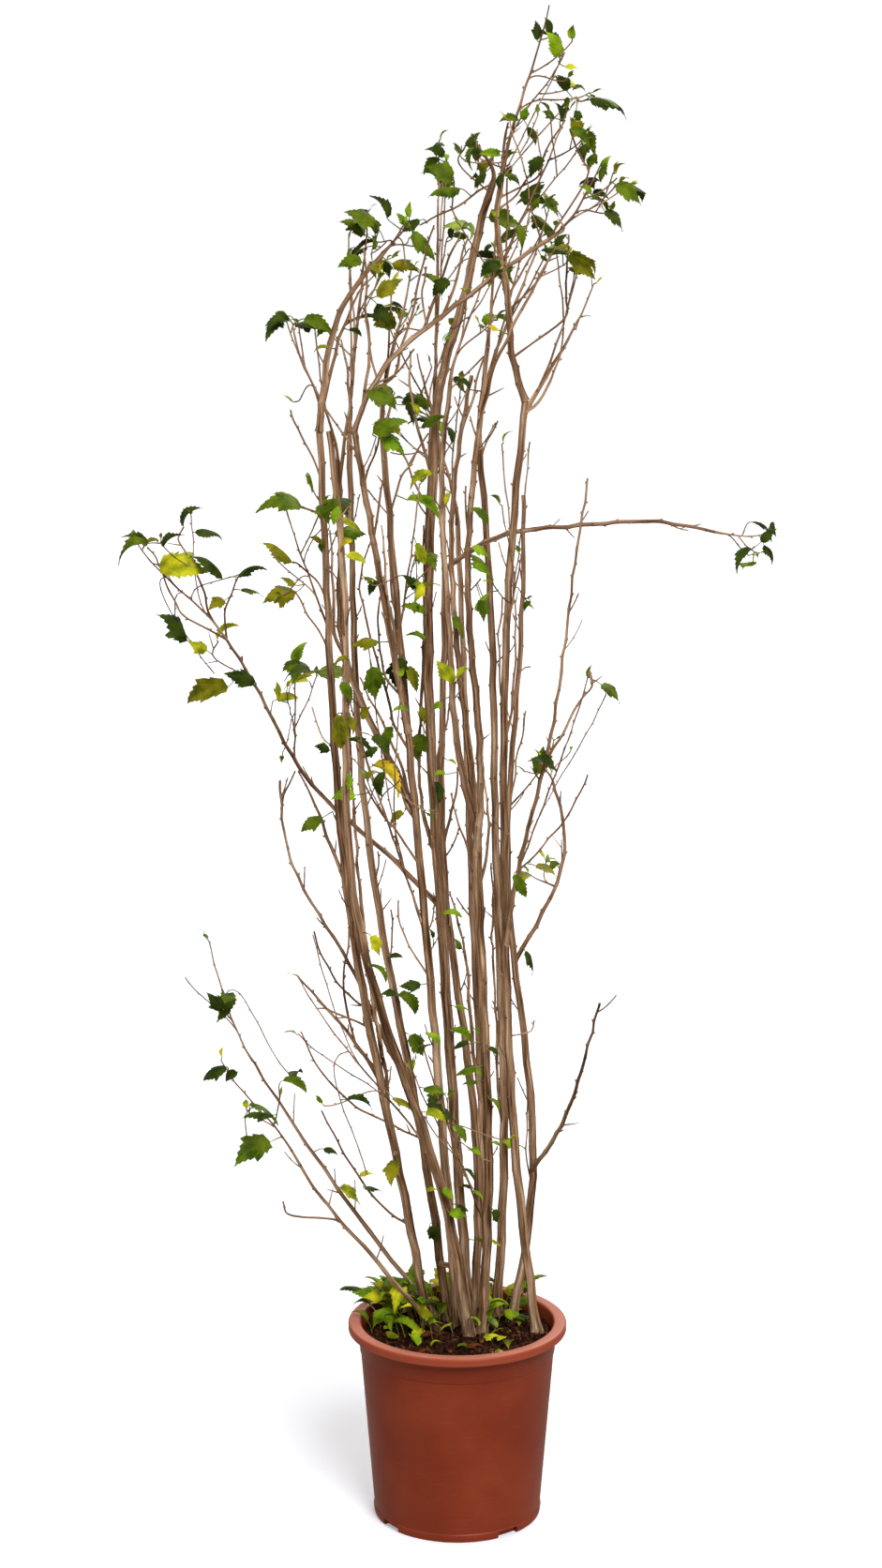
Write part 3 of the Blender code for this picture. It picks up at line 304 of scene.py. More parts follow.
# The leaf masses: carrying limb, thickness, side spurs, leaves at most, and the shoots' tips
masses = {
    "leaves_leader": dict(
        on="bough_top_right", at=1.0, thick=0.0055, spurs=2, leaves=10, seed=229,
        tips=(
            (0.115, 0.000, 2.030), (0.135, 0.050, 1.970),
            (0.170, 0.070, 1.925), (0.135, -0.030, 1.935),
        ),
    ),
    "leaves_top_right": dict(
        on="bough_top_right", at=0.62, thick=0.0045, spurs=3, leaves=11, seed=445,
        tips=(
            (0.135, -0.060, 1.895), (0.155, -0.110, 1.860),
            (0.065, -0.030, 1.885), (0.100, -0.020, 1.875),
        ),
    ),
    "leaves_right_top": dict(
        on="bough_crossing", at=1.0, thick=0.0042, spurs=3, leaves=12, seed=965,
        tips=(
            (0.175, -0.160, 1.830), (0.210, -0.120, 1.805),
            (0.185, -0.180, 1.770), (0.160, -0.100, 1.795),
        ),
    ),
    "leaves_centre_top": dict(
        on="bough_top_middle", at=1.0, thick=0.0070, spurs=3, leaves=12, seed=83,
        tips=(
            (0.020, -0.030, 1.865), (0.045, 0.030, 1.845),
            (0.060, -0.020, 1.815), (0.030, 0.060, 1.820),
        ),
    ),
    "leaves_top_left": dict(
        on="stem_middle", at=0.975, thick=0.0070, spurs=2, leaves=8, seed=1351,
        tips=((-0.025, 0.090, 1.865), (-0.015, 0.050, 1.835), (-0.020, 0.120, 1.810)),
    ),
    "leaves_upper_left_back": dict(
        on="stem_left_back", at=1.0, thick=0.0070, spurs=3, leaves=11, seed=873,
        tips=(
            (-0.120, 0.160, 1.775), (-0.145, 0.120, 1.745),
            (-0.145, 0.150, 1.710), (-0.100, 0.170, 1.695),
        ),
    ),
    "leaves_upper_left_front": dict(
        on="bough_upper_left", at=1.0, thick=0.0046, spurs=3, leaves=12, seed=1025,
        tips=(
            (-0.070, -0.060, 1.755), (-0.040, -0.030, 1.730),
            (-0.105, -0.090, 1.735), (-0.065, -0.100, 1.705),
        ),
    ),
    "leaves_far_left": dict(
        on="bough_left_inner", at=1.0, thick=0.0046, spurs=1, leaves=4, seed=734,
        tips=((-0.225, 0.040, 1.635), (-0.190, 0.080, 1.630), (-0.215, 0.100, 1.525)),
    ),
    "leaves_fork_right": dict(
        on="stem_right", at=0.985, thick=0.0070, spurs=2, leaves=3, seed=1506,
        tips=((0.180, 0.100, 1.680), (0.160, 0.080, 1.710), (0.125, 0.030, 1.750)),
    ),
    "leaves_back_top": dict(
        on="stem_right_back", at=1.0, thick=0.0080, spurs=3, leaves=11, seed=272,
        tips=((0.125, 0.220, 1.785), (0.100, 0.260, 1.780), (0.120, 0.200, 1.720)),
    ),
    "leaves_centre": dict(
        on="bough_fork_left", at=1.0, thick=0.0046, spurs=2, leaves=9, seed=502,
        tips=(
            (0.035, -0.050, 1.700), (0.045, -0.020, 1.635),
            (0.010, -0.100, 1.670), (-0.010, -0.080, 1.625),
        ),
    ),
    "leaves_front_top": dict(
        on="bough_fork_right", at=1.0, thick=0.0046, spurs=1, leaves=6, seed=1045,
        tips=((0.045, -0.210, 1.760), (0.075, -0.180, 1.745), (0.000, -0.220, 1.755)),
    ),
    "leaves_mid_left_top": dict(
        on="stem_knuckled", at=1.0, thick=0.0072, spurs=3, leaves=11, seed=562,
        tips=(
            (-0.060, -0.060, 1.700), (-0.085, -0.090, 1.680),
            (-0.075, -0.030, 1.635), (-0.040, 0.000, 1.625),
        ),
    ),
    "leaves_back_left": dict(
        on="stem_middle_back", at=1.0, thick=0.0065, spurs=2, leaves=8, seed=156,
        tips=((-0.055, 0.200, 1.585), (-0.100, 0.220, 1.640), (-0.010, 0.160, 1.620)),
    ),
    "leaves_back": dict(
        on="stem_back", at=1.0, thick=0.0062, spurs=3, leaves=10, seed=1565,
        tips=(
            (-0.035, 0.300, 1.495), (0.005, 0.270, 1.545),
            (-0.080, 0.320, 1.470), (-0.005, 0.280, 1.465),
        ),
    ),
    "leaves_right_mid": dict(
        on="stem_right", at=0.77, thick=0.0036, spurs=1, leaves=11, seed=936,
        tips=(
            (0.080, -0.100, 1.340), (0.090, -0.110, 1.485), (0.055, -0.090, 1.480),
            (0.055, -0.120, 1.405), (0.085, -0.110, 1.285),
        ),
    ),
    "leaves_left_mid": dict(
        on="stem_left", at=0.80, thick=0.0036, spurs=1, leaves=10, seed=982,
        tips=(
            (-0.220, -0.120, 1.405), (-0.235, -0.160, 1.350),
            (-0.225, -0.100, 1.290), (-0.160, -0.070, 1.395),
        ),
    ),
    "leaves_centre_mid": dict(
        on="bough_left_upper", at=0.25, thick=0.0036, spurs=1, leaves=12, seed=755,
        tips=(
            (-0.050, -0.100, 1.430), (-0.140, -0.120, 1.370), (-0.055, -0.090, 1.340),
            (-0.110, -0.130, 1.305), (-0.055, -0.080, 1.275),
        ),
    ),
    "leaves_left_heart": dict(
        on="stem_knuckled", at=0.46, thick=0.0045, spurs=1, leaves=13, seed=617,
        tips=(
            (-0.150, -0.105, 1.195), (-0.115, -0.130, 1.225), (-0.075, -0.120, 1.185),
            (-0.125, -0.140, 1.105), (-0.075, -0.130, 1.055), (-0.150, -0.090, 1.090),
            (-0.045, -0.110, 1.010),
        ),
    ),
    "leaves_left_cluster": dict(
        on="bough_left_long", at=1.0, thick=0.0034, spurs=2, leaves=14, seed=1297,
        tips=(
            (-0.440, 0.170, 1.330), (-0.360, 0.120, 1.370), (-0.280, 0.130, 1.300),
            (-0.395, 0.210, 1.215), (-0.340, 0.230, 1.140),
        ),
    ),
    "leaves_left_bough": dict(
        on="bough_left_long", at=0.62, thick=0.0030, spurs=1, leaves=7, seed=1425,
        tips=((-0.220, 0.100, 1.180), (-0.230, 0.060, 1.140), (-0.240, 0.130, 1.045)),
    ),
    "leaves_arch_tip": dict(
        on="bough_arching", at=1.0, thick=0.0034, spurs=1, leaves=4, seed=840,
        tips=((0.400, -0.060, 1.365), (0.375, -0.040, 1.335)),
    ),
    "leaves_right": dict(
        on="bough_right_bare", at=0.22, thick=0.0030, spurs=1, leaves=4, seed=1559,
        tips=((0.165, -0.200, 1.210), (0.190, -0.150, 1.175), (0.105, -0.120, 1.075)),
    ),
    "leaves_low_right": dict(
        on="bough_right_side", at=1.0, thick=0.0032, spurs=1, leaves=5, seed=1505,
        tips=((0.115, 0.180, 1.025), (0.160, 0.230, 1.030), (0.135, 0.200, 1.050)),
    ),
    "leaves_right_side": dict(
        on="bough_right_side", at=0.45, thick=0.0030, spurs=0, leaves=4, seed=927,
        tips=((0.100, 0.150, 0.870), (0.125, 0.200, 0.880)),
    ),
    "leaves_low_front": dict(
        on="stem_low_front", at=1.0, thick=0.0032, spurs=1, leaves=5, seed=75,
        tips=((-0.305, -0.200, 0.700), (-0.275, -0.170, 0.625), (-0.280, -0.130, 0.560)),
    ),
    "leaves_low_back": dict(
        on="stem_low_back", at=1.0, thick=0.0032, spurs=1, leaves=5, seed=920,
        tips=(
            (-0.355, 0.240, 0.755), (-0.385, 0.200, 0.710),
            (-0.330, 0.220, 0.670), (-0.230, 0.170, 0.570),
        ),
    ),
    "leaves_left_low": dict(
        on="stem_left_front", at=0.24, thick=0.0036, spurs=1, leaves=4, seed=238,
        tips=(
            (-0.210, -0.130, 0.795), (-0.210, -0.090, 0.705), (-0.175, -0.150, 0.625),
            (-0.190, -0.110, 0.845), (-0.120, -0.130, 0.525),
        ),
    ),
    "leaves_middle_low": dict(
        on="stem_forked", at=0.20, thick=0.0036, spurs=1, leaves=11, seed=1284,
        tips=(
            (-0.050, -0.070, 0.700), (-0.060, -0.075, 0.650), (-0.045, -0.080, 0.590),
            (0.000, -0.105, 0.570), (0.045, -0.090, 0.530), (0.065, -0.070, 0.555),
            (0.020, -0.080, 0.490),
        ),
    ),
    "leaves_foot": dict(
        on="soil", at=(-0.062, 0.040), thick=0.0036, spurs=3, leaves=12, seed=769,
        tips=((-0.075, 0.030, 0.310), (-0.115, 0.020, 0.320), (-0.025, 0.060, 0.300)),
    ),
}


# The camera stands where the photograph was taken

view = {
    "place": (-0.0225, -3.86, 1.725), "tiltDown": 0.1795,
    "focalPixels": 3143, "imageWidth": 941, "imageHeight": 1672, "sensor": 36.0,
}
camera = bpy.data.cameras.new("camera")
camera.sensor_width = view["sensor"]
camera.lens = view["focalPixels"] / view["imageHeight"] * view["sensor"]
cameraObject = objectFrom(camera, "camera")
cameraObject.location = view["place"]
cameraObject.rotation_euler = (math.pi / 2 - view["tiltDown"], 0, 0)
bpy.context.scene.camera = cameraObject


# Sizes shared by the rules below

soilTop = 0.256
joinGap = 0.0003
seatRoom = 0.0004
seatCollar = 0.004
pot = {
    "height": 0.276, "rimRadius": 0.150, "rimDepth": 0.017, "rimRound": 0.004,
    "neckRadius": 0.135, "baseRadius": 0.114, "step": 0.0012, "topBand": 0.030,
    "footBand": 0.011, "wall": 0.003, "floor": 0.004, "notches": 4,
    "notchTurn": math.radians(37), "notchWidth": 0.033, "notchHeight": 0.010,
    "notchDepth": 0.008, "sides": 144,
}

stemRule = {"flare": 0.55, "flareHeight": 0.016, "stations": 11}
boughStations = 7
shootRule = {
    "stations": 5, "twigThick": 0.62, "tipThick": 0.0018, "spurLength": (0.030, 0.065),
    "spurThick": 0.0020, "spurLean": math.radians(50), "clear": 0.0012,
}
leafRule = {
    "firstNode": 0.004, "nodeGrowth": 1.45, "nodeStep": 0.012,
    "goldenAngle": math.radians(137.5), "petiole": (0.010, 0.022), "length": (0.032, 0.056),
    "width": 0.66, "widest": 0.42, "arch": 0.12,
    "droop": (math.radians(-35), math.radians(50)), "clear": 0.0025, "spacing": 0.013,
}
takenCube = 0.04
reachLow, reachHigh = (-0.468, -0.262, 0.0), (0.424, 0.358, 2.031)


# Growth: the same rule as the solids', so that every shoot and leaf sits where its solid is


# The place at a share of the way along a limb that swings from side to side.
def swung(start, tip, bends, depth, share):
    way = tip - start
    side = Vector((-way.z, 0, way.x)).normalized()
    swing = sum(reach * math.sin(n * math.pi * share) for n, reach in enumerate(bends, 1))
    return start + way * share + side * swing + Vector((0, depth * math.sin(math.pi * share), 0))


def waysAlong(places):
    last = len(places) - 1
    return [(places[min(i + 1, last)] - places[max(i - 1, 0)]).normalized() for i in range(last + 1)]


# A tapering round limb along a line of places.
class Limb:
    def __init__(self, name, places, radii, path=None, firstWay=None):
        self.name = name
        self.places = places
        self.radii = radii
        self.path = path
        self.ways = waysAlong(places)
        if firstWay is not None:
            self.ways[0] = firstWay
        self.lengths = [(b - a).length for a, b in zip(places, places[1:])]
        self.length = sum(self.lengths)

    # Place, direction and radius at a share of the length.
    def at(self, share):
        left = share * self.length
        for i, length in enumerate(self.lengths):
            if left <= length or i == len(self.lengths) - 1:
                part = min(left / length, 1.0)
                way = (self.places[i + 1] - self.places[i]).normalized()
                return (mix(self.places[i], self.places[i + 1], part), way,
                        mix(self.radii[i], self.radii[i + 1], part))
            left -= length


def seated(point, way, middle, axis, reach):
    out = point - middle
    out -= axis * out.dot(axis)
    step = way - axis * way.dot(axis)
    half = out.dot(step)
    square = step.length_squared
    return (-half + math.sqrt(max(half**2 - square * (out.length_squared - reach**2), 0))) / square


# How a limb leaves its parent: its first place, its way, and how far its seat rises.
def leaving(parent, share, towards, radius):
    place, way, parentRadius = parent.at(share)
    if share >= 1.0:
        way = parent.ways[-1]
        return place + way * joinGap, way, 0
    away = (towards - place).normalized()
    edge = (way - away * way.dot(away)).normalized() * radius
    reach = parentRadius + joinGap + seatRoom
    rise = max(seated(place + side, away, place, way, reach) for side in (edge, -edge))
    return place, away, rise + seatCollar


def startOf(on, at, towards, radius):
    if on == "soil":
        return Vector((*at, soilTop + joinGap)), Vector((0, 0, 1)), 0
    return leaving(limbs[on], at, towards, radius)


def growStem(name, size):
    foot, tip = Vector((*size["foot"], soilTop + joinGap)), Vector(size["tip"])
    length = (tip - foot).length
    height = stemRule["flareHeight"]
    early = [0, height / 2 / length, height * 2 / length]
    count = stemRule["stations"]
    shares = early + [mix(early[-1], 1, i / count) for i in range(1, count + 1)]

    def radiusAt(share):
        flare = 1 + stemRule["flare"] * math.exp(-share * length / height)
        return mix(*size["thick"], share) / 2 * flare

    def path(share):
        return swung(foot, tip, size["bends"], size["depth"], share), radiusAt(share)

    places = [path(share)[0] for share in shares]
    return Limb(name, places, [radiusAt(s) for s in shares], path, Vector((0, 0, 1)))


def growBough(name, size):
    tip, radius = Vector(size["tip"]), size["thick"][0] / 2
    begin = limbs[size["on"]].at(size["at"])[0]
    early = swung(begin, tip, size["bends"], size["depth"], 0.04)
    first, way, rise = startOf(size["on"], size["at"], early, radius)
    clear = rise / (tip - first).length
    shares = [clear + (1 - clear) * i / boughStations for i in range(boughStations + 1)]
    if not rise:
        shares = shares[1:]

    def path(share):
        return swung(first, tip, size["bends"], size["depth"], share), mix(*size["thick"], share) / 2

    places = [first] + [path(share)[0] for share in shares]
    return Limb(name, places, [path(s)[1] for s in [0.0] + shares], path, way)


# The capsules that are already there, each with its owner, sorted into cubes of space.
class Taken:
    def __init__(self):
        self.cubes = {}

    def cubesOf(self, low, high):
        ends = [(math.floor(a / takenCube), math.floor(b / takenCube) + 1) for a, b in zip(low, high)]
        return itertools.product(*[range(*pair) for pair in ends])

    def addLine(self, owner, places, radii):
        for a, b, ra, rb in zip(places, places[1:], radii, radii[1:]):
            width = max(ra, rb)
            low = [min(a[k], b[k]) - width for k in range(3)]
            high = [max(a[k], b[k]) + width for k in range(3)]
            for cube in self.cubesOf(low, high):
                self.cubes.setdefault(cube, []).append((owner, a, b, width))

    # Whether every point keeps a radius away from what other owners have there.
    def clear(self, points, radius, owner):
        low = [min(p[k] for p in points) - radius for k in range(3)]
        high = [max(p[k] for p in points) + radius for k in range(3)]
        for cube in self.cubesOf(low, high):
            for other, a, b, width in self.cubes.get(cube, ()):
                if other == owner:
                    continue
                along = b - a
                square = max(along.length_squared, 1e-12)
                for point in points:
                    share = min(max((point - a).dot(along) / square, 0), 1)
                    if (point - a - along * share).length < width + radius:
                        return False
        return True


# Places along a curve that leaves the start one way and reaches the tip another way.
def curved(start, way, tip, endWay, count):
    pull = (tip - start).length / 3
    b, c = start + way * pull, tip - endWay * pull
    places = []
    for i in range(count + 1):
        t = i / count
        s = 1 - t
        places.append(start * s**3 + b * (3 * s * s * t) + c * (3 * s * t * t) + tip * t**3)
    return places


def tapering(first, count):
    return [mix(first, shootRule["tipThick"] / 2, (i / count) ** 0.8) for i in range(count + 1)]


def rising(start, tip):
    return ((tip - start).normalized() + Vector((0, 0, 0.35))).normalized()


# A shoot as a coarse limb, with the smooth path that is drawn.
def shootFrom(name, start, way, tip, radius, count, rise=0):
    endWay = rising(start, tip)
    places = curved(start, way, tip, endWay, count)
    if rise:
        places[1] = start + way * max((places[1] - start).length, rise)
    fine = curved(start, way, tip, endWay, 40)

    def path(share):
        return fine[round(share * 40)], mix(radius, shootRule["tipThick"] / 2, share ** 0.8)

    return Limb(name, places, tapering(radius, count), path, way if rise is not None else None)


def stemOfMass(name, size):
    tip, radius = Vector(size["tips"][0]), size["thick"] / 2
    first, way, rise = startOf(size["on"], size["at"], tip, radius)
    return shootFrom(name, first, way, tip, radius, shootRule["stations"], rise)


def samples(places):
    points = []
    for a, b in zip(places, places[1:]):
        points += [a, mix(a, b, 1 / 3), mix(a, b, 2 / 3)]
    return [*points, places[-1]]


# The main twigs, which leave the stem one after another and each reach a tip.
def twigsOfMass(name, size, stem, rng):
    twigs = []
    tips = [Vector(tip) for tip in size["tips"][1:]]
    for i, tip in enumerate(tips):
        place, way, radius = stem.at(0.2 + 0.5 * i / len(tips) + rng.uniform(0, 0.08))
        startWay = (way + (tip - place).normalized() * 0.8).normalized()
        twig = shootFrom(name, place, startWay, tip, radius * shootRule["twigThick"],
                         shootRule["stations"] - 1, None)
        if taken.clear(samples(twig.places[1:]), twig.radii[0] + shootRule["clear"], name):
            twigs.append(twig)
    return twigs


# Short side spurs, spread over the shoots and turned round them.
def spursOfMass(name, size, shoots, rng):
    spurs = []
    for i in range(size["spurs"]):
        shoot = shoots[i % len(shoots)]
        place, way, radius = shoot.at(rng.uniform(0.25, 0.7))
        turn = Matrix.Rotation(rng.uniform(0, math.tau), 3, way)
        side = turn @ way.orthogonal().normalized()
        lean = way * math.cos(shootRule["spurLean"]) + side * math.sin(shootRule["spurLean"])
        reach = rng.uniform(*shootRule["spurLength"])
        tip = place + lean * reach + Vector((0, 0, reach * 0.25))
        thick = min(shootRule["spurThick"] / 2, radius * 0.8)
        spur = shootFrom(name, place, lean, tip, thick, 2, None)
        if taken.clear(samples(spur.places), thick + shootRule["clear"], name):
            spurs.append(spur)
    return spurs


# Every place where a leaf can sit, those nearest to a tip first.
def leafNodes(shoots, rng):
    nodes = []
    for shoot in shoots:
        angle = rng.uniform(0, math.tau)
        back, step = leafRule["firstNode"], leafRule["nodeStep"]
        while back < shoot.length * 0.8:
            nodes.append((back * rng.uniform(0.6, 1.4), shoot, 1 - back / shoot.length, angle))
            angle += leafRule["goldenAngle"]
            back += step
            step *= leafRule["nodeGrowth"]
    return sorted(nodes, key=lambda node: node[0])


# Root, joint, tip and half width of a leaf that stands out from its shoot and droops.
def leafAt(shoot, share, angle, rng):
    place, way, _ = shoot.at(share)
    side = Matrix.Rotation(angle, 3, way) @ way.orthogonal().normalized()
    out = (side + way * 0.6 + Vector((0, 0, 0.2))).normalized()
    level = Vector((out.x, out.y, 0))
    if level.length < 0.2:
        level = Vector((math.cos(angle), math.sin(angle), 0))
    droop = rng.uniform(*leafRule["droop"])
    blade = level.normalized() * math.cos(droop) - Vector((0, 0, math.sin(droop)))
    across = blade.cross(Vector((0, 0, 1))).normalized()
    across = Matrix.Rotation(rng.uniform(-0.6, 0.6), 3, blade) @ across
    length = rng.uniform(*leafRule["length"])
    joint = place + out * rng.uniform(*leafRule["petiole"])
    return dict(root=place, joint=joint, tip=joint + blade * length, way=way, out=out,
                across=across * (length * leafRule["width"] / 2),
                lift=across.cross(blade) * (length * leafRule["arch"]))


def leafPoints(leaf):
    line = [mix(leaf["root"], leaf["joint"], 0.6)]
    for share, spread in ((0, 0.45), (0.2, 0.7), (leafRule["widest"], 1), (0.7, 0.5), (1, 0)):
        place = mix(leaf["joint"], leaf["tip"], share) + leaf["lift"] * spread
        line += [place + leaf["across"] * (spread * step) for step in (-1, -0.5, 0, 0.5, 1)]
    return line


def wallRadius(height):
    return mix(pot["baseRadius"], pot["neckRadius"], height / (pot["height"] - pot["rimDepth"]))


def innerRadius(height):
    low = wallRadius(pot["floor"]) - pot["wall"]
    high = wallRadius(pot["height"] - pot["rimDepth"]) - pot["wall"]
    return mix(low, high, (height - pot["floor"]) / (pot["height"] - pot["rimRound"] - pot["floor"]))


# Whether every point is in the plant's reach, and over the pot's rim or over the soil
def inTheOpen(points):
    if any(not reachLow[k] < point[k] < reachHigh[k] for point in points for k in range(3)):
        return False
    clear = leafRule["clear"]
    return all(
        point.z > pot["height"] + clear
        or (point.z > soilTop + clear and point.xy.length < innerRadius(point.z) - clear)
        for point in points
    )


def leavesOfMass(name, size, shoots, rng):
    leaves = []
    for _, shoot, share, angle in leafNodes(shoots, rng):
        leaf = leafAt(shoot, share, angle, rng)
        if len(leaves) >= size["leaves"]:
            break
        points = leafPoints(leaf)
        apart = all((leaf["joint"] - other["joint"]).length > leafRule["spacing"] for other in leaves)
        if apart and inTheOpen(points) and taken.clear(points, leafRule["clear"], name):
            leaves.append(leaf)
    return leaves


def takeLeaf(name, leaf):
    middle = mix(leaf["joint"], leaf["tip"], leafRule["widest"]) + leaf["lift"]
    half = leaf["across"].length
    taken.addLine(name, [leaf["root"], middle], [half * 0.3, half * 0.3])
    taken.addLine(name, [middle - leaf["across"] * 0.6, middle + leaf["across"] * 0.6],
                  [half * 0.4, half * 0.4])
    taken.addLine(name, [middle, leaf["tip"]], [half * 0.4, 0.001])


limbs = {name: growStem(name, size) for name, size in stems.items()}
for name, size in boughs.items():
    limbs[name] = growBough(name, size)
taken = Taken()
for name, limb in limbs.items():
    taken.addLine(name, limb.places, limb.radii)
draws = {name: random.Random(size["seed"]) for name, size in masses.items()}
shoots = {name: [stemOfMass(name, size)] for name, size in masses.items()}
for name in masses:
    taken.addLine(name, shoots[name][0].places, shoots[name][0].radii)
for name, size in masses.items():
    twigs = twigsOfMass(name, size, shoots[name][0], draws[name])
    for twig in twigs:
        taken.addLine(name, twig.places, twig.radii)
    spurs = spursOfMass(name, size, [*shoots[name], *twigs], draws[name])
    for spur in spurs:
        taken.addLine(name, spur.places, spur.radii)
    shoots[name] += twigs + spurs
leaves = {}
for name, size in masses.items():
    leaves[name] = leavesOfMass(name, size, shoots[name], draws[name])
    for leaf in leaves[name]:
        takeLeaf(name, leaf)
print("grown:", len(limbs), "limbs,", sum(map(len, shoots.values())), "shoots,",
      sum(map(len, leaves.values())), "leaves")


# Bark: each limb runs from node to node in a slight zigzag, with a swollen pad and a bud there

bark = {
    "step": 0.004, "shootStep": 0.006, "stemSides": 4, "boughSides": 3, "shootSides": 1,
    "stemNodes": (0.028, 0.050), "shootNodes": (0.017, 0.028), "zigzag": 0.0012,
    "pad": 0.13, "stemPad": 0.05, "padLength": 0.0030, "collar": 0.35, "stemCollar": 0.05,
    "collarLength": 0.006,
    "sunk": 0.010, "stemWaves": ((0.0045, 16.0, 0.00009), (0.0160, 3.0, 0.00028)),
    "boughWaves": ((0.0030, 9.0, 0.00007), (0.0080, 2.0, 0.00012)),
    "budLength": (0.0015, 0.0034), "budRadius": 0.0012, "spurChance": 0.05, "bareTo": 0.45,
    "boughGrowth": 1.15, "boughLeast": 0.0017,
    "bareShare": 0.7,
    "spurLength": (0.008, 0.024),
}


def sideOf(way, angle):
    return Matrix.Rotation(angle, 3, way) @ way.orthogonal().normalized()


# Shares of a limb's length where its leaves once grew, with the side that each bud faces
def nodesAlong(limb, spacing, rng):
    found, place, angle = [], rng.uniform(*spacing), rng.uniform(0, math.tau)
    while place < limb.length - 0.004:
        found.append((place / limb.length, angle))
        place += rng.uniform(*spacing)
        angle += leafRule["goldenAngle"] + rng.uniform(-0.3, 0.3)
    return found


# A run of (place, radius) along a limb: it kinks and swells at the nodes, and has a collar
def noded(limb, nodes, step, zigzag, pad, collar, rng):
    kinks = [(0, Vector())]
    for share, angle in nodes:
        kinks.append((share, sideOf(limb.at(share)[1], angle) * zigzag * rng.uniform(0.4, 1.2)))
    kinks.append((1, Vector()))
    count = max(4, round(limb.length / step))
    run, k = [], 0
    for i in range(count + 1):
        share = i / count
        while share > kinks[k + 1][0]:
            k += 1
        (low, before), (high, after) = kinks[k], kinks[k + 1]
        place, radius = limb.path(share)
        away = min((abs(share - at) for at, _ in nodes), default=1) * limb.length
        swell = 1 + pad * math.exp(-(away / bark["padLength"]) ** 2)
        swell += collar * math.exp(-share * limb.length / bark["collarLength"])
        run.append((place + mix(before, after, (share - low) / (high - low)), radius * swell))
    return run


# A short pointed bud on its pad, or a longer dry spur, that leans up and out from a node
def budAt(run, share, angle, rng, long=False):
    i = min(max(round(share * (len(run) - 1)), 1), len(run) - 1)
    place, radius = run[i]
    way = (place - run[i - 1][0]).normalized()
    side = sideOf(way, angle)
    reach = rng.uniform(*(bark["spurLength"] if long else bark["budLength"]))
    thick = min(bark["budRadius"], radius * 0.7)
    lean = (side * (1.0 if long else 0.55) + way).normalized()
    knee = place + side * (radius + thick * 0.3)
    tip = knee + lean * reach
    return [(place + side * radius * 0.4 - way * thick, thick * 0.9), (knee, thick),
            (mix(knee, tip, 0.35), thick * 0.85), (mix(knee, tip, 0.7), thick * 0.65),
            (tip, thick * 0.25)]


def insideBox(places, margin):
    return all(low + margin < value < high - margin for place in places
               for low, high, value in zip(cadLow, cadHigh, place))


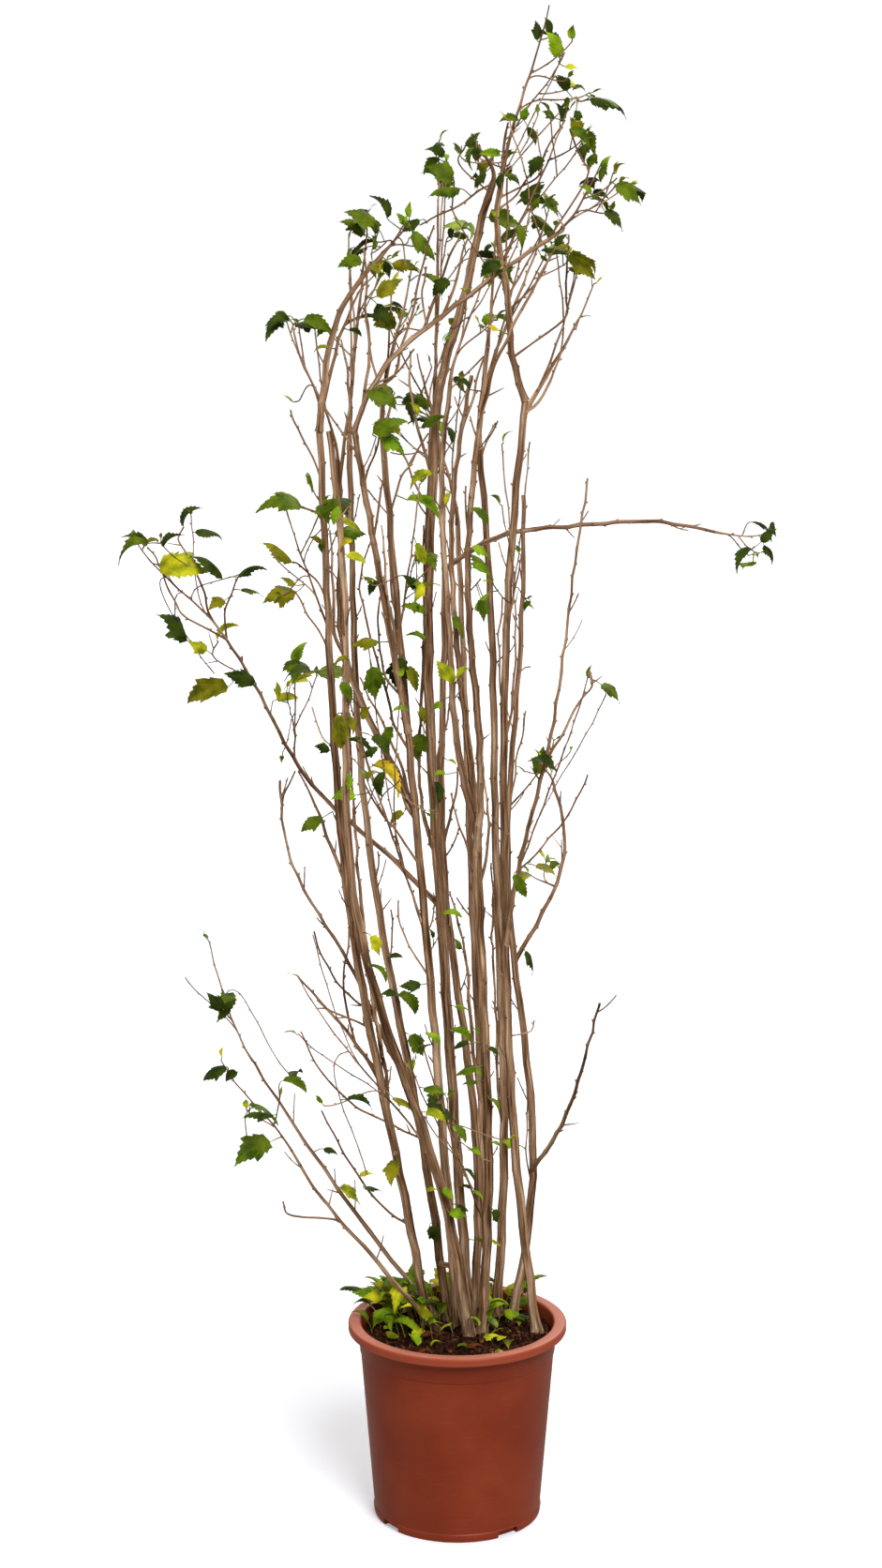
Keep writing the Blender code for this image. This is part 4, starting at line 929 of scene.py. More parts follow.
# Bare shoots of the last years, read off the photograph: how thick each is at its foot, in
# millimetres, and where it shows in the image from foot to tip. Each leaves the limb that is
# nearest there, and swings back or forward by the first depth at which it is clear.
bareRule = {"tip": 0.0012, "clear": 0.0012, "margin": 0.006, "curve": 6,
            "depths": (0.0, 0.015, -0.015, 0.03, -0.03, 0.05, -0.05, 0.075, -0.075, 0.10, -0.10)}
seenShoots = (
    (5.4, (346, 445), (351, 405), (359, 372), (370, 340), (381, 316), (390, 300)),
    (4.0, (383, 432), (390, 408), (394, 382), (393, 352), (390, 325), (391, 295), (388, 264)),
    (2.6, (401, 403), (396, 382), (392, 352), (390, 335)),
    (5.0, (362, 515), (366, 478), (371, 450), (373, 428), (371, 400), (368, 380), (364, 362)),
    (4.4, (452, 352), (462, 325), (470, 300), (480, 273), (492, 248)),
    (4.0, (474, 335), (484, 310), (489, 290), (493, 270), (499, 255)),
    (4.0, (418, 432), (422, 400), (427, 372), (437, 346), (443, 318), (449, 290), (456, 262), (463, 240)),
    (2.4, (446, 340), (450, 315), (453, 298), (455, 284)),
    (2.8, (405, 413), (420, 400), (432, 386), (442, 372)),
    (4.8, (459, 508), (451, 476), (444, 449), (439, 424), (437, 398), (438, 376)),
    (5.2, (514, 455), (519, 420), (528, 388), (543, 357), (557, 329), (572, 302), (585, 277), (598, 254)),
    (3.0, (541, 225), (550, 210), (559, 196), (568, 183)),
    (3.0, (543, 290), (541, 255), (541, 222), (541, 190)),
    (3.0, (547, 315), (554, 296), (561, 282), (572, 264)),
    (4.4, (497, 460), (503, 430), (508, 407), (515, 384)),
    (2.2, (478, 418), (496, 400), (516, 380)),
    (4.4, (561, 447), (574, 428), (587, 407), (593, 391), (599, 374)),
    (3.0, (598, 372), (600, 342), (604, 318), (604, 295), (607, 262)),
    (2.6, (385, 484), (367, 463), (356, 449), (346, 434)),
    (3.2, (413, 470), (409, 440), (404, 414)),
    (4.0, (414, 465), (415, 440), (419, 420)),
    (2.4, (513, 492), (518, 474), (525, 461), (531, 449)),
    (2.8, (386, 520), (393, 500), (401, 482), (404, 465), (401, 450)),
    (3.0, (455, 548), (445, 520), (436, 498), (428, 482), (418, 470)),
    (3.0, (416, 552), (422, 528), (429, 508), (438, 495), (446, 479), (457, 462)),
    (1.8, (413, 548), (402, 534), (392, 522)),
    (3.2, (397, 577), (402, 552), (406, 528), (410, 508)),
    (4.8, (438, 850), (430, 822), (420, 798), (411, 777), (402, 758), (393, 742), (384, 722)),
    (4.0, (425, 800), (421, 776), (417, 757), (411, 735), (405, 715), (400, 698), (393, 670),
     (388, 648), (384, 628), (386, 606), (392, 588), (398, 571)),
    (3.6, (414, 745), (411, 722), (407, 700), (404, 680), (403, 660), (406, 638), (409, 615)),
    (5.2, (425, 700), (420, 670), (414, 640), (411, 610), (410, 585), (407, 560)),
    (4.0, (421, 660), (418, 630), (416, 600), (415, 575)),
    (6.0, (362, 705), (358, 680), (356, 650), (355, 620), (354, 590), (352, 565)),
    (6.4, (463, 925), (459, 895), (452, 868), (448, 840), (447, 800), (449, 760), (451, 715),
     (453, 665), (452, 615), (452, 560)),
    (2.4, (499, 575), (497, 550), (497, 530), (497, 518)),
    (1.8, (503, 630), (508, 623), (513, 617)),
    (2.8, (537, 760), (534, 735), (533, 700), (532, 680), (535, 655), (536, 637)),
    (4.0, (540, 800), (544, 770), (547, 740), (549, 715), (550, 690), (550, 660), (549, 640)),
    (1.4, (556, 718), (560, 712), (566, 711)),
    (3.2, (617, 590), (620, 560), (623, 540), (627, 510)),
    (4.0, (578, 820), (590, 800), (600, 783), (612, 758), (622, 744), (631, 732), (630, 716)),
    (3.2, (543, 860), (549, 830), (552, 803), (558, 782), (561, 758)),
    (3.0, (299, 862), (303, 848), (309, 836), (315, 822)),
    (6.0, (372, 950), (362, 925), (353, 902), (345, 880), (337, 860), (328, 840), (318, 822)),
    (2.0, (353, 802), (345, 788), (339, 772), (333, 754)),
    (6.8, (420, 1185), (413, 1155), (406, 1115), (400, 1080), (394, 1040), (388, 985), (382, 930),
     (379, 880), (376, 840), (374, 800), (373, 760)),
    (3.2, (447, 930), (438, 908), (424, 888), (411, 872), (400, 857), (391, 840)),
    (3.6, (440, 880), (433, 858), (427, 838), (420, 815)),
    (3.6, (467, 850), (466, 815), (470, 792), (477, 770), (480, 748)),
    (4.4, (471, 900), (478, 880), (483, 862), (487, 840), (488, 818)),
    (3.6, (503, 915), (497, 898), (490, 880), (484, 862), (482, 845)),
    (2.6, (477, 920), (483, 902), (490, 882)),
    (4.4, (516, 945), (519, 915), (521, 885), (520, 860), (517, 838), (515, 815)),
    (4.8, (532, 1215), (531, 1160), (530, 1100), (527, 1040), (525, 1000), (526, 960), (524, 920)),
    (2.8, (543, 865), (553, 850), (563, 838), (574, 824)),
    (2.8, (453, 1040), (445, 1022), (434, 1003), (427, 985), (425, 960)),
    (2.4, (413, 1030), (417, 1010), (419, 990), (417, 970)),
    (2.4, (397, 965), (401, 940), (404, 922), (403, 908)),
    (2.4, (458, 1000), (461, 982), (464, 962)),
    (2.6, (505, 985), (496, 970), (487, 957)),
    (6.4, (510, 1180), (506, 1130), (502, 1085), (499, 1040), (495, 1010), (488, 980), (480, 950)),
    (3.2, (396, 1078), (380, 1068), (364, 1052), (351, 1033), (341, 1013), (335, 993)),
    (3.2, (396, 1100), (385, 1092), (368, 1084), (350, 1076), (338, 1066)),
    (3.6, (393, 1140), (384, 1120), (375, 1098), (369, 1070), (366, 1042), (370, 1018), (373, 990),
     (375, 965)),
    (3.2, (449, 1220), (436, 1209), (420, 1200), (398, 1190), (380, 1180), (364, 1167), (350, 1152),
     (339, 1137), (328, 1117), (321, 1100)),
    (3.4, (440, 1312), (420, 1297), (398, 1275), (381, 1252), (364, 1225), (352, 1202), (343, 1184)),
    (3.0, (378, 1312), (362, 1302), (345, 1299), (323, 1298), (306, 1294), (302, 1281)),
    (2.2, (564, 1262), (562, 1235), (562, 1205), (563, 1180), (562, 1160)),
    (1.8, (549, 1106), (560, 1102), (568, 1098), (570, 1088)),
    (3.2, (240, 682), (216, 668), (194, 654), (186, 640), (178, 625), (172, 608), (167, 596), (157, 584)),
    (3.2, (238, 680), (223, 653), (218, 632), (211, 614), (203, 600), (197, 587), (190, 574), (196, 562)),
    (2.8, (243, 682), (240, 655), (243, 642), (247, 632), (251, 622), (255, 614)),
    (2.2, (274, 733), (255, 718), (240, 709), (227, 698), (233, 684)),
    (2.8, (352, 690), (340, 672), (328, 655), (320, 640), (315, 631)),
    (2.8, (352, 640), (340, 622), (328, 610), (318, 601), (312, 599)),
    (2.6, (347, 562), (340, 549), (328, 543), (321, 541)),
    (3.2, (347, 438), (333, 410), (322, 385), (314, 357), (312, 344)),
    (2.4, (492, 248), (486, 230), (483, 212), (484, 194), (476, 170)),
    (2.2, (484, 194), (490, 175), (496, 157)),
    (3.0, (560, 329), (572, 300), (590, 270), (606, 262), (607, 250)),
    (2.4, (606, 262), (602, 245), (596, 234)),
    (2.4, (580, 262), (572, 240), (566, 218)),
    (2.6, (624, 207), (626, 190), (622, 172), (612, 150), (608, 138)),
    (2.0, (597, 118), (606, 110), (618, 108), (629, 106)),
    (1.8, (595, 78), (597, 68), (597, 61)),
    (2.8, (553, 927), (570, 912), (585, 895), (598, 880), (609, 864), (619, 845), (627, 826)),
    (4.0, (535, 165), (538, 148), (542, 131)),
    (2.8, (565, 215), (572, 190), (580, 165), (592, 145), (603, 128)),
    (3.2, (528, 190), (512, 203), (498, 213), (480, 225), (462, 232), (448, 240)),
    (2.6, (339, 512), (334, 488), (322, 466), (313, 448), (310, 437)),
    (5.6, (402, 1150), (386, 1122), (370, 1100), (350, 1077), (333, 1058), (317, 1040)),
)
twiglets = {
    "length": (0.010, 0.040), "radius": (0.0007, 0.0011), "lean": (0.5, 1.2), "rise": 0.35,
    "from": 0.25, "margin": 0.012, "clear": 0.002, "every": 0.14,
}


# Where a place shows in the image, and the place at a depth that shows there
def seenFrom(place):
    tilt, offset = view["tiltDown"], place - Vector(view["place"])
    depth = offset.y * math.cos(tilt) - offset.z * math.sin(tilt)
    height = offset.y * math.sin(tilt) + offset.z * math.cos(tilt)
    return Vector((view["imageWidth"] / 2 + view["focalPixels"] * offset.x / depth,
                   view["imageHeight"] / 2 - view["focalPixels"] * height / depth))


def placeAt(seen, y):
    tilt = view["tiltDown"]
    side = (seen[0] - view["imageWidth"] / 2) / view["focalPixels"]
    up = (view["imageHeight"] / 2 - seen[1]) / view["focalPixels"]
    way = Vector((side, math.cos(tilt) + up * math.sin(tilt), up * math.cos(tilt) - math.sin(tilt)))
    start = Vector(view["place"])
    return start + way * ((y - start.y) / way.y)


# A smooth line through all of a few places
def smoothThrough(line, count):
    ends = [line[0] * 2 - line[1], *line, line[-1] * 2 - line[-2]]
    places = []
    for a, b, c, d in zip(ends, ends[1:], ends[2:], ends[3:]):
        for k in range(count):
            t = k / count
            places.append((b * 2 + (c - a) * t + (a * 2 - b * 5 + c * 4 - d) * t * t
                           + (b * 3 - a - c * 3 + d) * t ** 3) / 2)
    return [*places, line[-1]]


seenLimbs = [(limb, place, seenFrom(place)) for limb in limbs.values()
             for place in (limb.path(i / 80)[0] for i in range(81))]


def bareShoot(thick, *seen):
    first = Vector(seen[0])
    limb, root, _ = min(seenLimbs, key=lambda spot: (spot[2] - first).length)
    for depth in bareRule["depths"]:
        line = [root] + [placeAt(spot, root.y + depth * i / (len(seen) - 1))
                         for i, spot in enumerate(seen[1:], 1)]
        fine = smoothThrough(line, bareRule["curve"])
        last = len(fine) - 1
        radii = [mix(thick / 2000, bareRule["tip"], (i / last) ** 1.3) for i in range(last + 1)]
        far = [place for place in fine if (place - root).length > thick / 500 + 0.008] or fine[-1:]
        if insideBox(fine, bareRule["margin"]) and taken.clear(
                far, thick / 2000 + bareRule["clear"], limb.name):
            taken.addLine(limb.name, fine[2:], radii[2:])
            return Limb(limb.name, fine, radii,
                        lambda s: (fine[round(s * last)], radii[round(s * last)]))
    print("no room for the bare shoot at", seen[0])


# Short thin side twigs here and there
def bareShoots(limb, rule, count, rng):
    found = []
    for i in range(count):
        share = mix(rule["from"], 0.96, (i + rng.random()) / count)
        place, way, radius = limb.at(share)
        lean = (sideOf(way, rng.uniform(0, math.tau)) * rng.uniform(*rule["lean"]) + way).normalized()
        reach, thick = rng.uniform(*rule["length"]), min(rng.uniform(*rule["radius"]), radius * 0.75)
        tip = place + lean * reach + Vector((0, 0, reach * rule["rise"]))
        fine = curved(place, lean, tip, rising(place, tip), 30)
        radii = [mix(thick, min(thick, 0.0008), k / 30) for k in range(31)]
        far = [p for p in fine if (p - place).length > radius * 2 + 0.004] or fine[-1:]
        if insideBox(fine, rule["margin"]) and taken.clear(far, thick + rule["clear"], limb.name):
            found.append(Limb(limb.name, fine, radii,
                              lambda s, f=fine, r=radii: (f[round(s * 30)], r[round(s * 30)])))
            taken.addLine(limb.name, fine[2:], radii[2:])
    return found


growRandom = random.Random(7)
stemRuns, boughRuns, twigRuns, budRuns, massRuns, tipPlaces = [], [], [], [], {}, []
for name, limb in limbs.items():
    isStem = name in stems
    nodes = nodesAlong(limb, bark["stemNodes" if isStem else "shootNodes"], growRandom)
    run = noded(limb, nodes, bark["step"], bark["zigzag"], bark["stemPad" if isStem else "pad"],
                bark["stemCollar" if isStem else "collar"], growRandom)
    for share, angle in nodes:
        long = growRandom.random() < bark["spurChance"]
        if not isStem or share > bark["bareTo"] or growRandom.random() > bark["bareShare"]:
            budRuns.append(budAt(run, share, angle, growRandom, long))
    if isStem:
        foot, radius = run[0]
        run.insert(0, (foot - Vector((0, 0, bark["sunk"])), radius * 1.02))
    else:
        run = [(place, max(radius * bark["boughGrowth"], bark["boughLeast"])) for place, radius in run]
    (stemRuns if isStem else boughRuns).append(run)


# The point of a mass's drawn shoots that is nearest to a place
def nearestOn(runs, place):
    return min((point for run in runs for point, _ in run), key=lambda point: (point - place).length)


for name, found in shoots.items():
    massRuns[name] = []
    for shoot in found:
        nodes = nodesAlong(shoot, bark["shootNodes"], growRandom)
        run = noded(shoot, nodes, bark["shootStep"], bark["zigzag"] * 0.7, bark["pad"],
                    bark["collar"], growRandom)
        if massRuns[name]:
            run.insert(0, (nearestOn(massRuns[name], run[0][0]), run[0][1]))
        massRuns[name].append(run)
        tipPlaces.append((name, run[-1][0], shoot.ways[-1]))
        for share, angle in nodes:
            budRuns.append(budAt(run, share, angle, growRandom))
    twigRuns += massRuns[name]
bareFound = [shoot for shoot in (bareShoot(*seen) for seen in seenShoots) if shoot]
for limb in limbs.values():
    bareFound += bareShoots(limb, twiglets, round(limb.length / twiglets["every"]), growRandom)
for shoot in bareFound:
    nodes = nodesAlong(shoot, bark["shootNodes"], growRandom)
    run = noded(shoot, nodes, bark["shootStep"], bark["zigzag"] * min(shoot.length / 0.1, 1),
                bark["pad"], bark["collar"], growRandom)
    twigRuns.append(run)
    for share, angle in nodes:
        budRuns.append(budAt(run, share, angle, growRandom, growRandom.random() < 0.08))

# Short sawn stubs on old stems: limb, share of its length, side, reach
sawnStubs = (
    ("stem_knuckled", 0.075, 2.4, 0.013), ("stem_middle", 0.30, 0.5, 0.010),
    ("stem_left", 0.22, 4.0, 0.011), ("stem_right_back", 0.35, 1.2, 0.010),
)
for name, share, angle, reach in sawnStubs:
    place, way, radius = limbs[name].at(share)
    side = (sideOf(way, angle) + way * 0.35).normalized()
    stemRuns.append([(place, radius * 0.7), (place + side * radius, radius * 0.62),
                     (place + side * (radius + reach), radius * 0.5)])
print("shoots drawn:", len(twigRuns), "twigs,", len(budRuns), "buds")


# Bark of a stem. Streaks 2 mm wide and 40 mm long follow it over lighter and darker flanks 10 mm
# wide, painted light and shade for the lit and shaded sides of a round stem, with dark specks of
# 1 mm, and it is darker and greyer at the foot than near the tips.
def barkMaterial(name, lowShades, highShades, roughness, relief):
    material, shader = newMaterial(name, highShades[1], roughness)
    shader.inputs["Specular IOR Level"].default_value = 0.12
    place = addNode(material, "ShaderNodeTexCoord").outputs["Object"]
    height = addNode(material, "ShaderNodeSeparateXYZ", links={"Vector": place}).outputs["Z"]
    older = addNode(material, "ShaderNodeMapRange", {"From Min": 0.35, "From Max": 1.5},
                    {"Value": height}).outputs["Result"]
    across = addNode(material, "ShaderNodeAttribute", {"attribute_name": "across"}).outputs["Vector"]
    along = addNode(material, "ShaderNodeAttribute", {"attribute_name": "along"}).outputs["Fac"]
    along = addNode(material, "ShaderNodeMath", {"operation": "MULTIPLY", 1: 0.05},
                    {0: along}).outputs[0]
    streaks = addNode(material, "ShaderNodeTexNoise",
                      {"noise_dimensions": "4D", "Scale": 400.0, "Detail": 3.0},
                      {"Vector": across, "W": along}).outputs["Fac"]
    # painted light and shade: lighter and darker flanks round each limb, in place of its lit and shaded
    # sides
    shadedFlanks = addNode(material, "ShaderNodeTexNoise",
                     {"noise_dimensions": "4D", "Scale": 110.0, "Detail": 2.0},
                     {"Vector": across, "W": along}).outputs["Fac"]
    specks = addNode(material, "ShaderNodeTexNoise", {"Scale": 900.0, "Detail": 1.0},
                     {"Vector": place}).outputs["Fac"]
    tone = addNode(material, "ShaderNodeMix", {0: 0.5}, {2: streaks, 3: shadedFlanks}).outputs[0]
    places = (0.38, 0.46, 0.54, 0.62)
    low = addNode(material, "ShaderNodeValToRGB", links={"Fac": tone},
                  stops=list(zip(places, lowShades))).outputs["Color"]
    high = addNode(material, "ShaderNodeValToRGB", links={"Fac": tone},
                   stops=list(zip(places, highShades))).outputs["Color"]
    mixed = addNode(material, "ShaderNodeMix", {"data_type": "RGBA"},
                    {0: older, 6: low, 7: high}).outputs[2]
    spots = addNode(material, "ShaderNodeMapRange",
                    {"From Min": 0.62, "From Max": 0.70, "To Max": 0.55},
                    {"Value": specks}).outputs["Result"]
    spotted = addNode(material, "ShaderNodeMix", {"data_type": "RGBA", 7: colour("2b1d10")},
                      {0: spots, 6: mixed}).outputs[2]
    bump = addNode(material, "ShaderNodeBump", {"Strength": 0.45, "Distance": relief},
                   {"Height": tone})
    plug(material, shader, spotted, bump.outputs["Normal"])
    return material


# Old stems: grey brown, dull and finely fissured. Shoots of the last year: smoother and browner.
# The dark and pale ends of each ramp carry the painted shade and light of the flanks as well as the bark's
# own tone
oldBark = barkMaterial("smooth grey brown bark", ("412a16", "785940", "9c7d61", "ccae90"),
                       ("492f1a", "836349", "a78569", "d6b899"), 0.85, 0.0002)
youngBark = barkMaterial("smooth brown shoot bark", ("422a15", "745339", "967455", "c4a582"),
                         ("4b311a", "7f5d41", "a58264", "d2b492"), 0.72, 0.0002)
stemPiece = tubes("stems", stemRuns, bark["stemSides"])
markGrain(stemPiece, stemRuns)
roughen(stemPiece, bark["stemWaves"])
settle(stemPiece, oldBark, stems)
boughPiece = tubes("boughs", boughRuns, bark["boughSides"])
markGrain(boughPiece, boughRuns)
roughen(boughPiece, bark["boughWaves"])
settle(boughPiece, oldBark, boughs)
twigPiece = tubes("twigs", twigRuns, bark["shootSides"])
markGrain(twigPiece, twigRuns)
settle(twigPiece, youngBark, masses)
budPiece = tubes("buds", budRuns, bark["shootSides"])
markGrain(budPiece, budRuns)
settle(budPiece, youngBark)


# Leaves: ovate with shallow side lobes and coarse forward teeth, folded along the midrib and
# arched down

leafLook = {
    # Half width, roundness of the base, length of the drawn-out tip, reach of the side lobes and
    # number of teeth, in leaf lengths
    "outlines": ((0.34, 0.55, 1.45, 0.130, 7), (0.32, 0.50, 1.30, 0.03, 8),
                 (0.27, 0.60, 1.25, 0.08, 7)),
    "bare": 0.15, "toothDepth": 0.19, "toothAhead": 0.045, "lobeAt": 0.42, "lobeWide": 0.075,
    "forms": 15, "columns": 4, "fold": (-0.60, 0.90), "rise": (0.20, 0.75), "dip": (0.40, 1.25),
    "bend": 0.08, "twist": 0.45, "wave": 0.020, "uneven": 0.05, "stalk": 0.00065,
}
leafColours = {
    "deep green": "2d3f08", "green": "4a6109", "fresh green": "6b8e12", "lime green": "9ba51c",
    "yellow": "b3a31e", "olive green": "6c700f", "pale green": "76904a", "dry brown": "4e2814",
}
leafShares = {
    "usual": (28, 30, 18, 9, 1, 12, 2, 0), "dark": (44, 32, 12, 2, 0, 9, 1, 0),
    "turning": (28, 20, 8, 20, 3, 20, 1, 0), "low": (5, 22, 36, 24, 1, 5, 5, 2),
    "young": (0, 6, 46, 30, 0, 4, 14, 0),
}
turningMasses = ("leaves_left_cluster", "leaves_left_mid", "leaves_left_bough",
                 "leaves_centre_mid", "leaves_fork_right", "leaves_left_heart")
darkMasses = ("leaves_leader", "leaves_top_left", "leaves_upper_left_back", "leaves_far_left",
              "leaves_low_front", "leaves_low_back", "leaves_arch_tip", "leaves_middle_low")


# Rows of an outline: place along the midrib, half width there, and how far the edge points ahead
def leafOutline(half, base, tip, lobe, teeth):
    widest = base / (base + tip)
    rows = [(0, 0.012, 0)]
    shares = [leafLook["bare"] / 2]
    for k in range(teeth):
        shares += [mix(leafLook["bare"], 1, (k + part) / teeth) for part in (0, 0.6)]
    for i, share in enumerate(shares):
        wide = half * (share / widest) ** base * ((1 - share) / (1 - widest)) ** tip
        wide += lobe * math.exp(-((share - leafLook["lobeAt"]) / leafLook["lobeWide"]) ** 2)
        point = i > 1 and i % 2 == 0
        wide *= 1 if point or i == 0 else 1 - leafLook["toothDepth"]
        rows.append((share, wide, leafLook["toothAhead"] * (wide / half + 0.3) if point else 0))
    return [*rows, (1, 0.004, 0)]


# One leaf of length 1 along Y with its face up. Its midrib starts upwards and ends downwards,
# and its UV map is the leaf laid flat.
def leafForm(index):
    rng = random.Random(100 + index)
    fold, rise, dip = (rng.uniform(*leafLook[key]) for key in ("fold", "rise", "dip"))
    bend, twist = (rng.uniform(-leafLook[key], leafLook[key]) for key in ("bend", "twist"))
    phase, uneven = rng.uniform(0, math.tau), leafLook["uneven"]
    outline = leafOutline(*leafLook["outlines"][index % len(leafLook["outlines"])])
    midrib = [(0, 0)]
    for (before, *_), (after, *_) in zip(outline, outline[1:]):
        pitch = mix(rise, -dip, (before + after) / 2)
        y, z = midrib[-1]
        midrib.append((y + math.cos(pitch) * (after - before), z + math.sin(pitch) * (after - before)))
    level, length = math.atan2(midrib[-1][1], midrib[-1][0]), math.hypot(*midrib[-1])
    sides = {side: [1 + rng.uniform(-uneven, uneven) for _ in outline] for side in (-1, 1)}
    bm = bmesh.new()
    bmesh.ops.create_grid(bm, x_segments=leafLook["columns"], y_segments=len(outline) - 1, size=0.5)
    flat = bm.loops.layers.uv.new("UVMap")
    laid = {}
    for vert in bm.verts:
        across = vert.co.x * 2
        row = round((vert.co.y + 0.5) * (len(outline) - 1))
        share, half, forward = outline[row]
        reach = abs(across) * half * sides[1 if across > 0 else -1][row]
        ahead = forward * across * across
        laid[vert] = (0.5 + math.copysign(reach, across), share + ahead)
        pitch = mix(rise, -dip, share) - level
        turn = fold * (1 - 0.3 * share)
        x = math.copysign(reach * math.cos(turn), across)
        lift = reach * math.sin(turn) - reach * reach * 0.5
        lift += leafLook["wave"] * math.sin(phase + share * 8 + across) * abs(across)
        twisted = twist * share
        x, lift = (x * math.cos(twisted) - lift * math.sin(twisted),
                   x * math.sin(twisted) + lift * math.cos(twisted))
        y, z = midrib[row]
        y, z = (y * math.cos(level) + z * math.sin(level), z * math.cos(level) - y * math.sin(level))
        y, z = y / length, z / length
        vert.co = (x + bend * math.sin(math.pi * share), y - lift * math.sin(pitch)
                   + ahead * math.cos(pitch), z + lift * math.cos(pitch) + ahead * math.sin(pitch))
    for face in bm.faces:
        face.smooth = True
        for loop in face.loops:
            loop[flat].uv = laid[loop.vert]
    return meshFrom(bm, f"leaf form {index}")


# A thin leaf with a faintly waxy skin: patches of 20 mm between a darker and a paler, yellower
# green, partly its own uneven colour and partly painted shade and light, paler veins 1 mm wide
# that fan out from the base into the lobes, and weaker ones off the midrib into the teeth.
def leafMaterial(name, code):
    dry = name.startswith("dry")
    material, shader = newMaterial(f"waxy {name} leaf", code, 0.75 if dry else 0.46)
    shader.inputs["Specular IOR Level"].default_value = 0.08 if dry else 0.06
    base = colour(code)
    # shade and light: darker and paler copies of the leaf colour, painted shade and painted light on its
    # patches
    shade = tuple(c * f for c, f in zip(base, (0.50, 0.56, 0.45))) + (1,)
    light = tuple(min(c * f + 0.004, 1) for c, f in zip(base, (1.9, 1.6, 1.1))) + (1,)
    pale = tuple(min(c * f + 0.015, 1) for c, f in zip(base, (1.9, 1.8, 1.5))) + (1,)
    place = addNode(material, "ShaderNodeTexCoord")
    split = addNode(material, "ShaderNodeSeparateXYZ", links={0: place.outputs["UV"]})
    shadeAndLightPatches = addNode(material, "ShaderNodeTexNoise", {"Scale": 50.0, "Detail": 3.0},
                      {"Vector": place.outputs["Object"]}).outputs["Fac"]
    tone = addNode(material, "ShaderNodeMapRange", {"From Min": 0.36, "From Max": 0.64},
                   {"Value": shadeAndLightPatches}).outputs["Result"]
    body = addNode(material, "ShaderNodeMix", {"data_type": "RGBA", 6: shade, 7: light},
                   {0: tone}).outputs[2]
    centred = addNode(material, "ShaderNodeMath", {"operation": "SUBTRACT", 1: 0.5},
                      {0: split.outputs["X"]}).outputs[0]
    ahead = addNode(material, "ShaderNodeMath", {"operation": "ADD", 1: 0.02},
                    {0: split.outputs["Y"]}).outputs[0]
    angle = addNode(material, "ShaderNodeMath", {"operation": "ARCTAN2"},
                    {0: centred, 1: ahead}).outputs[0]
    fan = addNode(material, "ShaderNodeMath", {"operation": "PINGPONG", 1: 0.21},
                  {0: angle}).outputs[0]
    fanned = addNode(material, "ShaderNodeMapRange",
                     {"From Min": 0.012, "From Max": 0.05, "To Min": 1.0, "To Max": 0.0},
                     {"Value": fan}).outputs["Result"]
    side = addNode(material, "ShaderNodeMath", {"operation": "ABSOLUTE"}, {0: centred}).outputs[0]
    slant = addNode(material, "ShaderNodeMath", {"operation": "MULTIPLY_ADD", 1: -0.85},
                    {0: side, 2: split.outputs["Y"]}).outputs[0]
    ribs = addNode(material, "ShaderNodeMath", {"operation": "PINGPONG", 1: 0.06},
                   {0: slant}).outputs[0]
    ribbed = addNode(material, "ShaderNodeMapRange",
                     {"From Min": 0.003, "From Max": 0.014, "To Min": 0.55, "To Max": 0.0},
                     {"Value": ribs}).outputs["Result"]
    veins = addNode(material, "ShaderNodeMath", {"operation": "MAXIMUM"},
                    {0: fanned, 1: ribbed}).outputs[0]
    shown = addNode(material, "ShaderNodeMath", {"operation": "MULTIPLY", 1: 0.34},
                    {0: veins}).outputs[0]
    veined = addNode(material, "ShaderNodeMix", {"data_type": "RGBA", 7: pale},
                     {0: shown, 6: body}).outputs[2]
    bump = addNode(material, "ShaderNodeBump", {"Strength": 0.5, "Distance": 0.0007, "invert": True},
                   {"Height": veins})
    plug(material, shader, veined, bump.outputs["Normal"])
    return material


leafForms = [leafForm(i) for i in range(leafLook["forms"])]
leafPiles = {name: bmesh.new() for name in leafColours}
stalkRuns = []
leafRandom = random.Random(21)


# Lays a leaf form from its joint to its tip, across one way, into the pile of a drawn colour,
# with its stalk from a root
def addLeaf(kind, root, out, joint, tip, across):
    shade = kind if kind in leafColours else leafRandom.choices(list(leafColours), leafShares[kind])[0]
    along, x = tip - joint, across.normalized()
    y = along.normalized()
    turn = Matrix((x, y, x.cross(y))).transposed().to_4x4()
    copy = leafRandom.choice(leafForms).copy()
    copy.transform(Matrix.Translation(joint) @ turn @ Matrix.Scale(along.length, 4))
    leafPiles[shade].from_mesh(copy)
    bpy.data.meshes.remove(copy)
    if root is not None:
        thick = leafLook["stalk"]
        bent = curved(root, out, joint, (y + out).normalized(), 6)
        stalkRuns.append([(p, mix(thick * 1.5, thick, i / 6)) for i, p in enumerate(bent)])


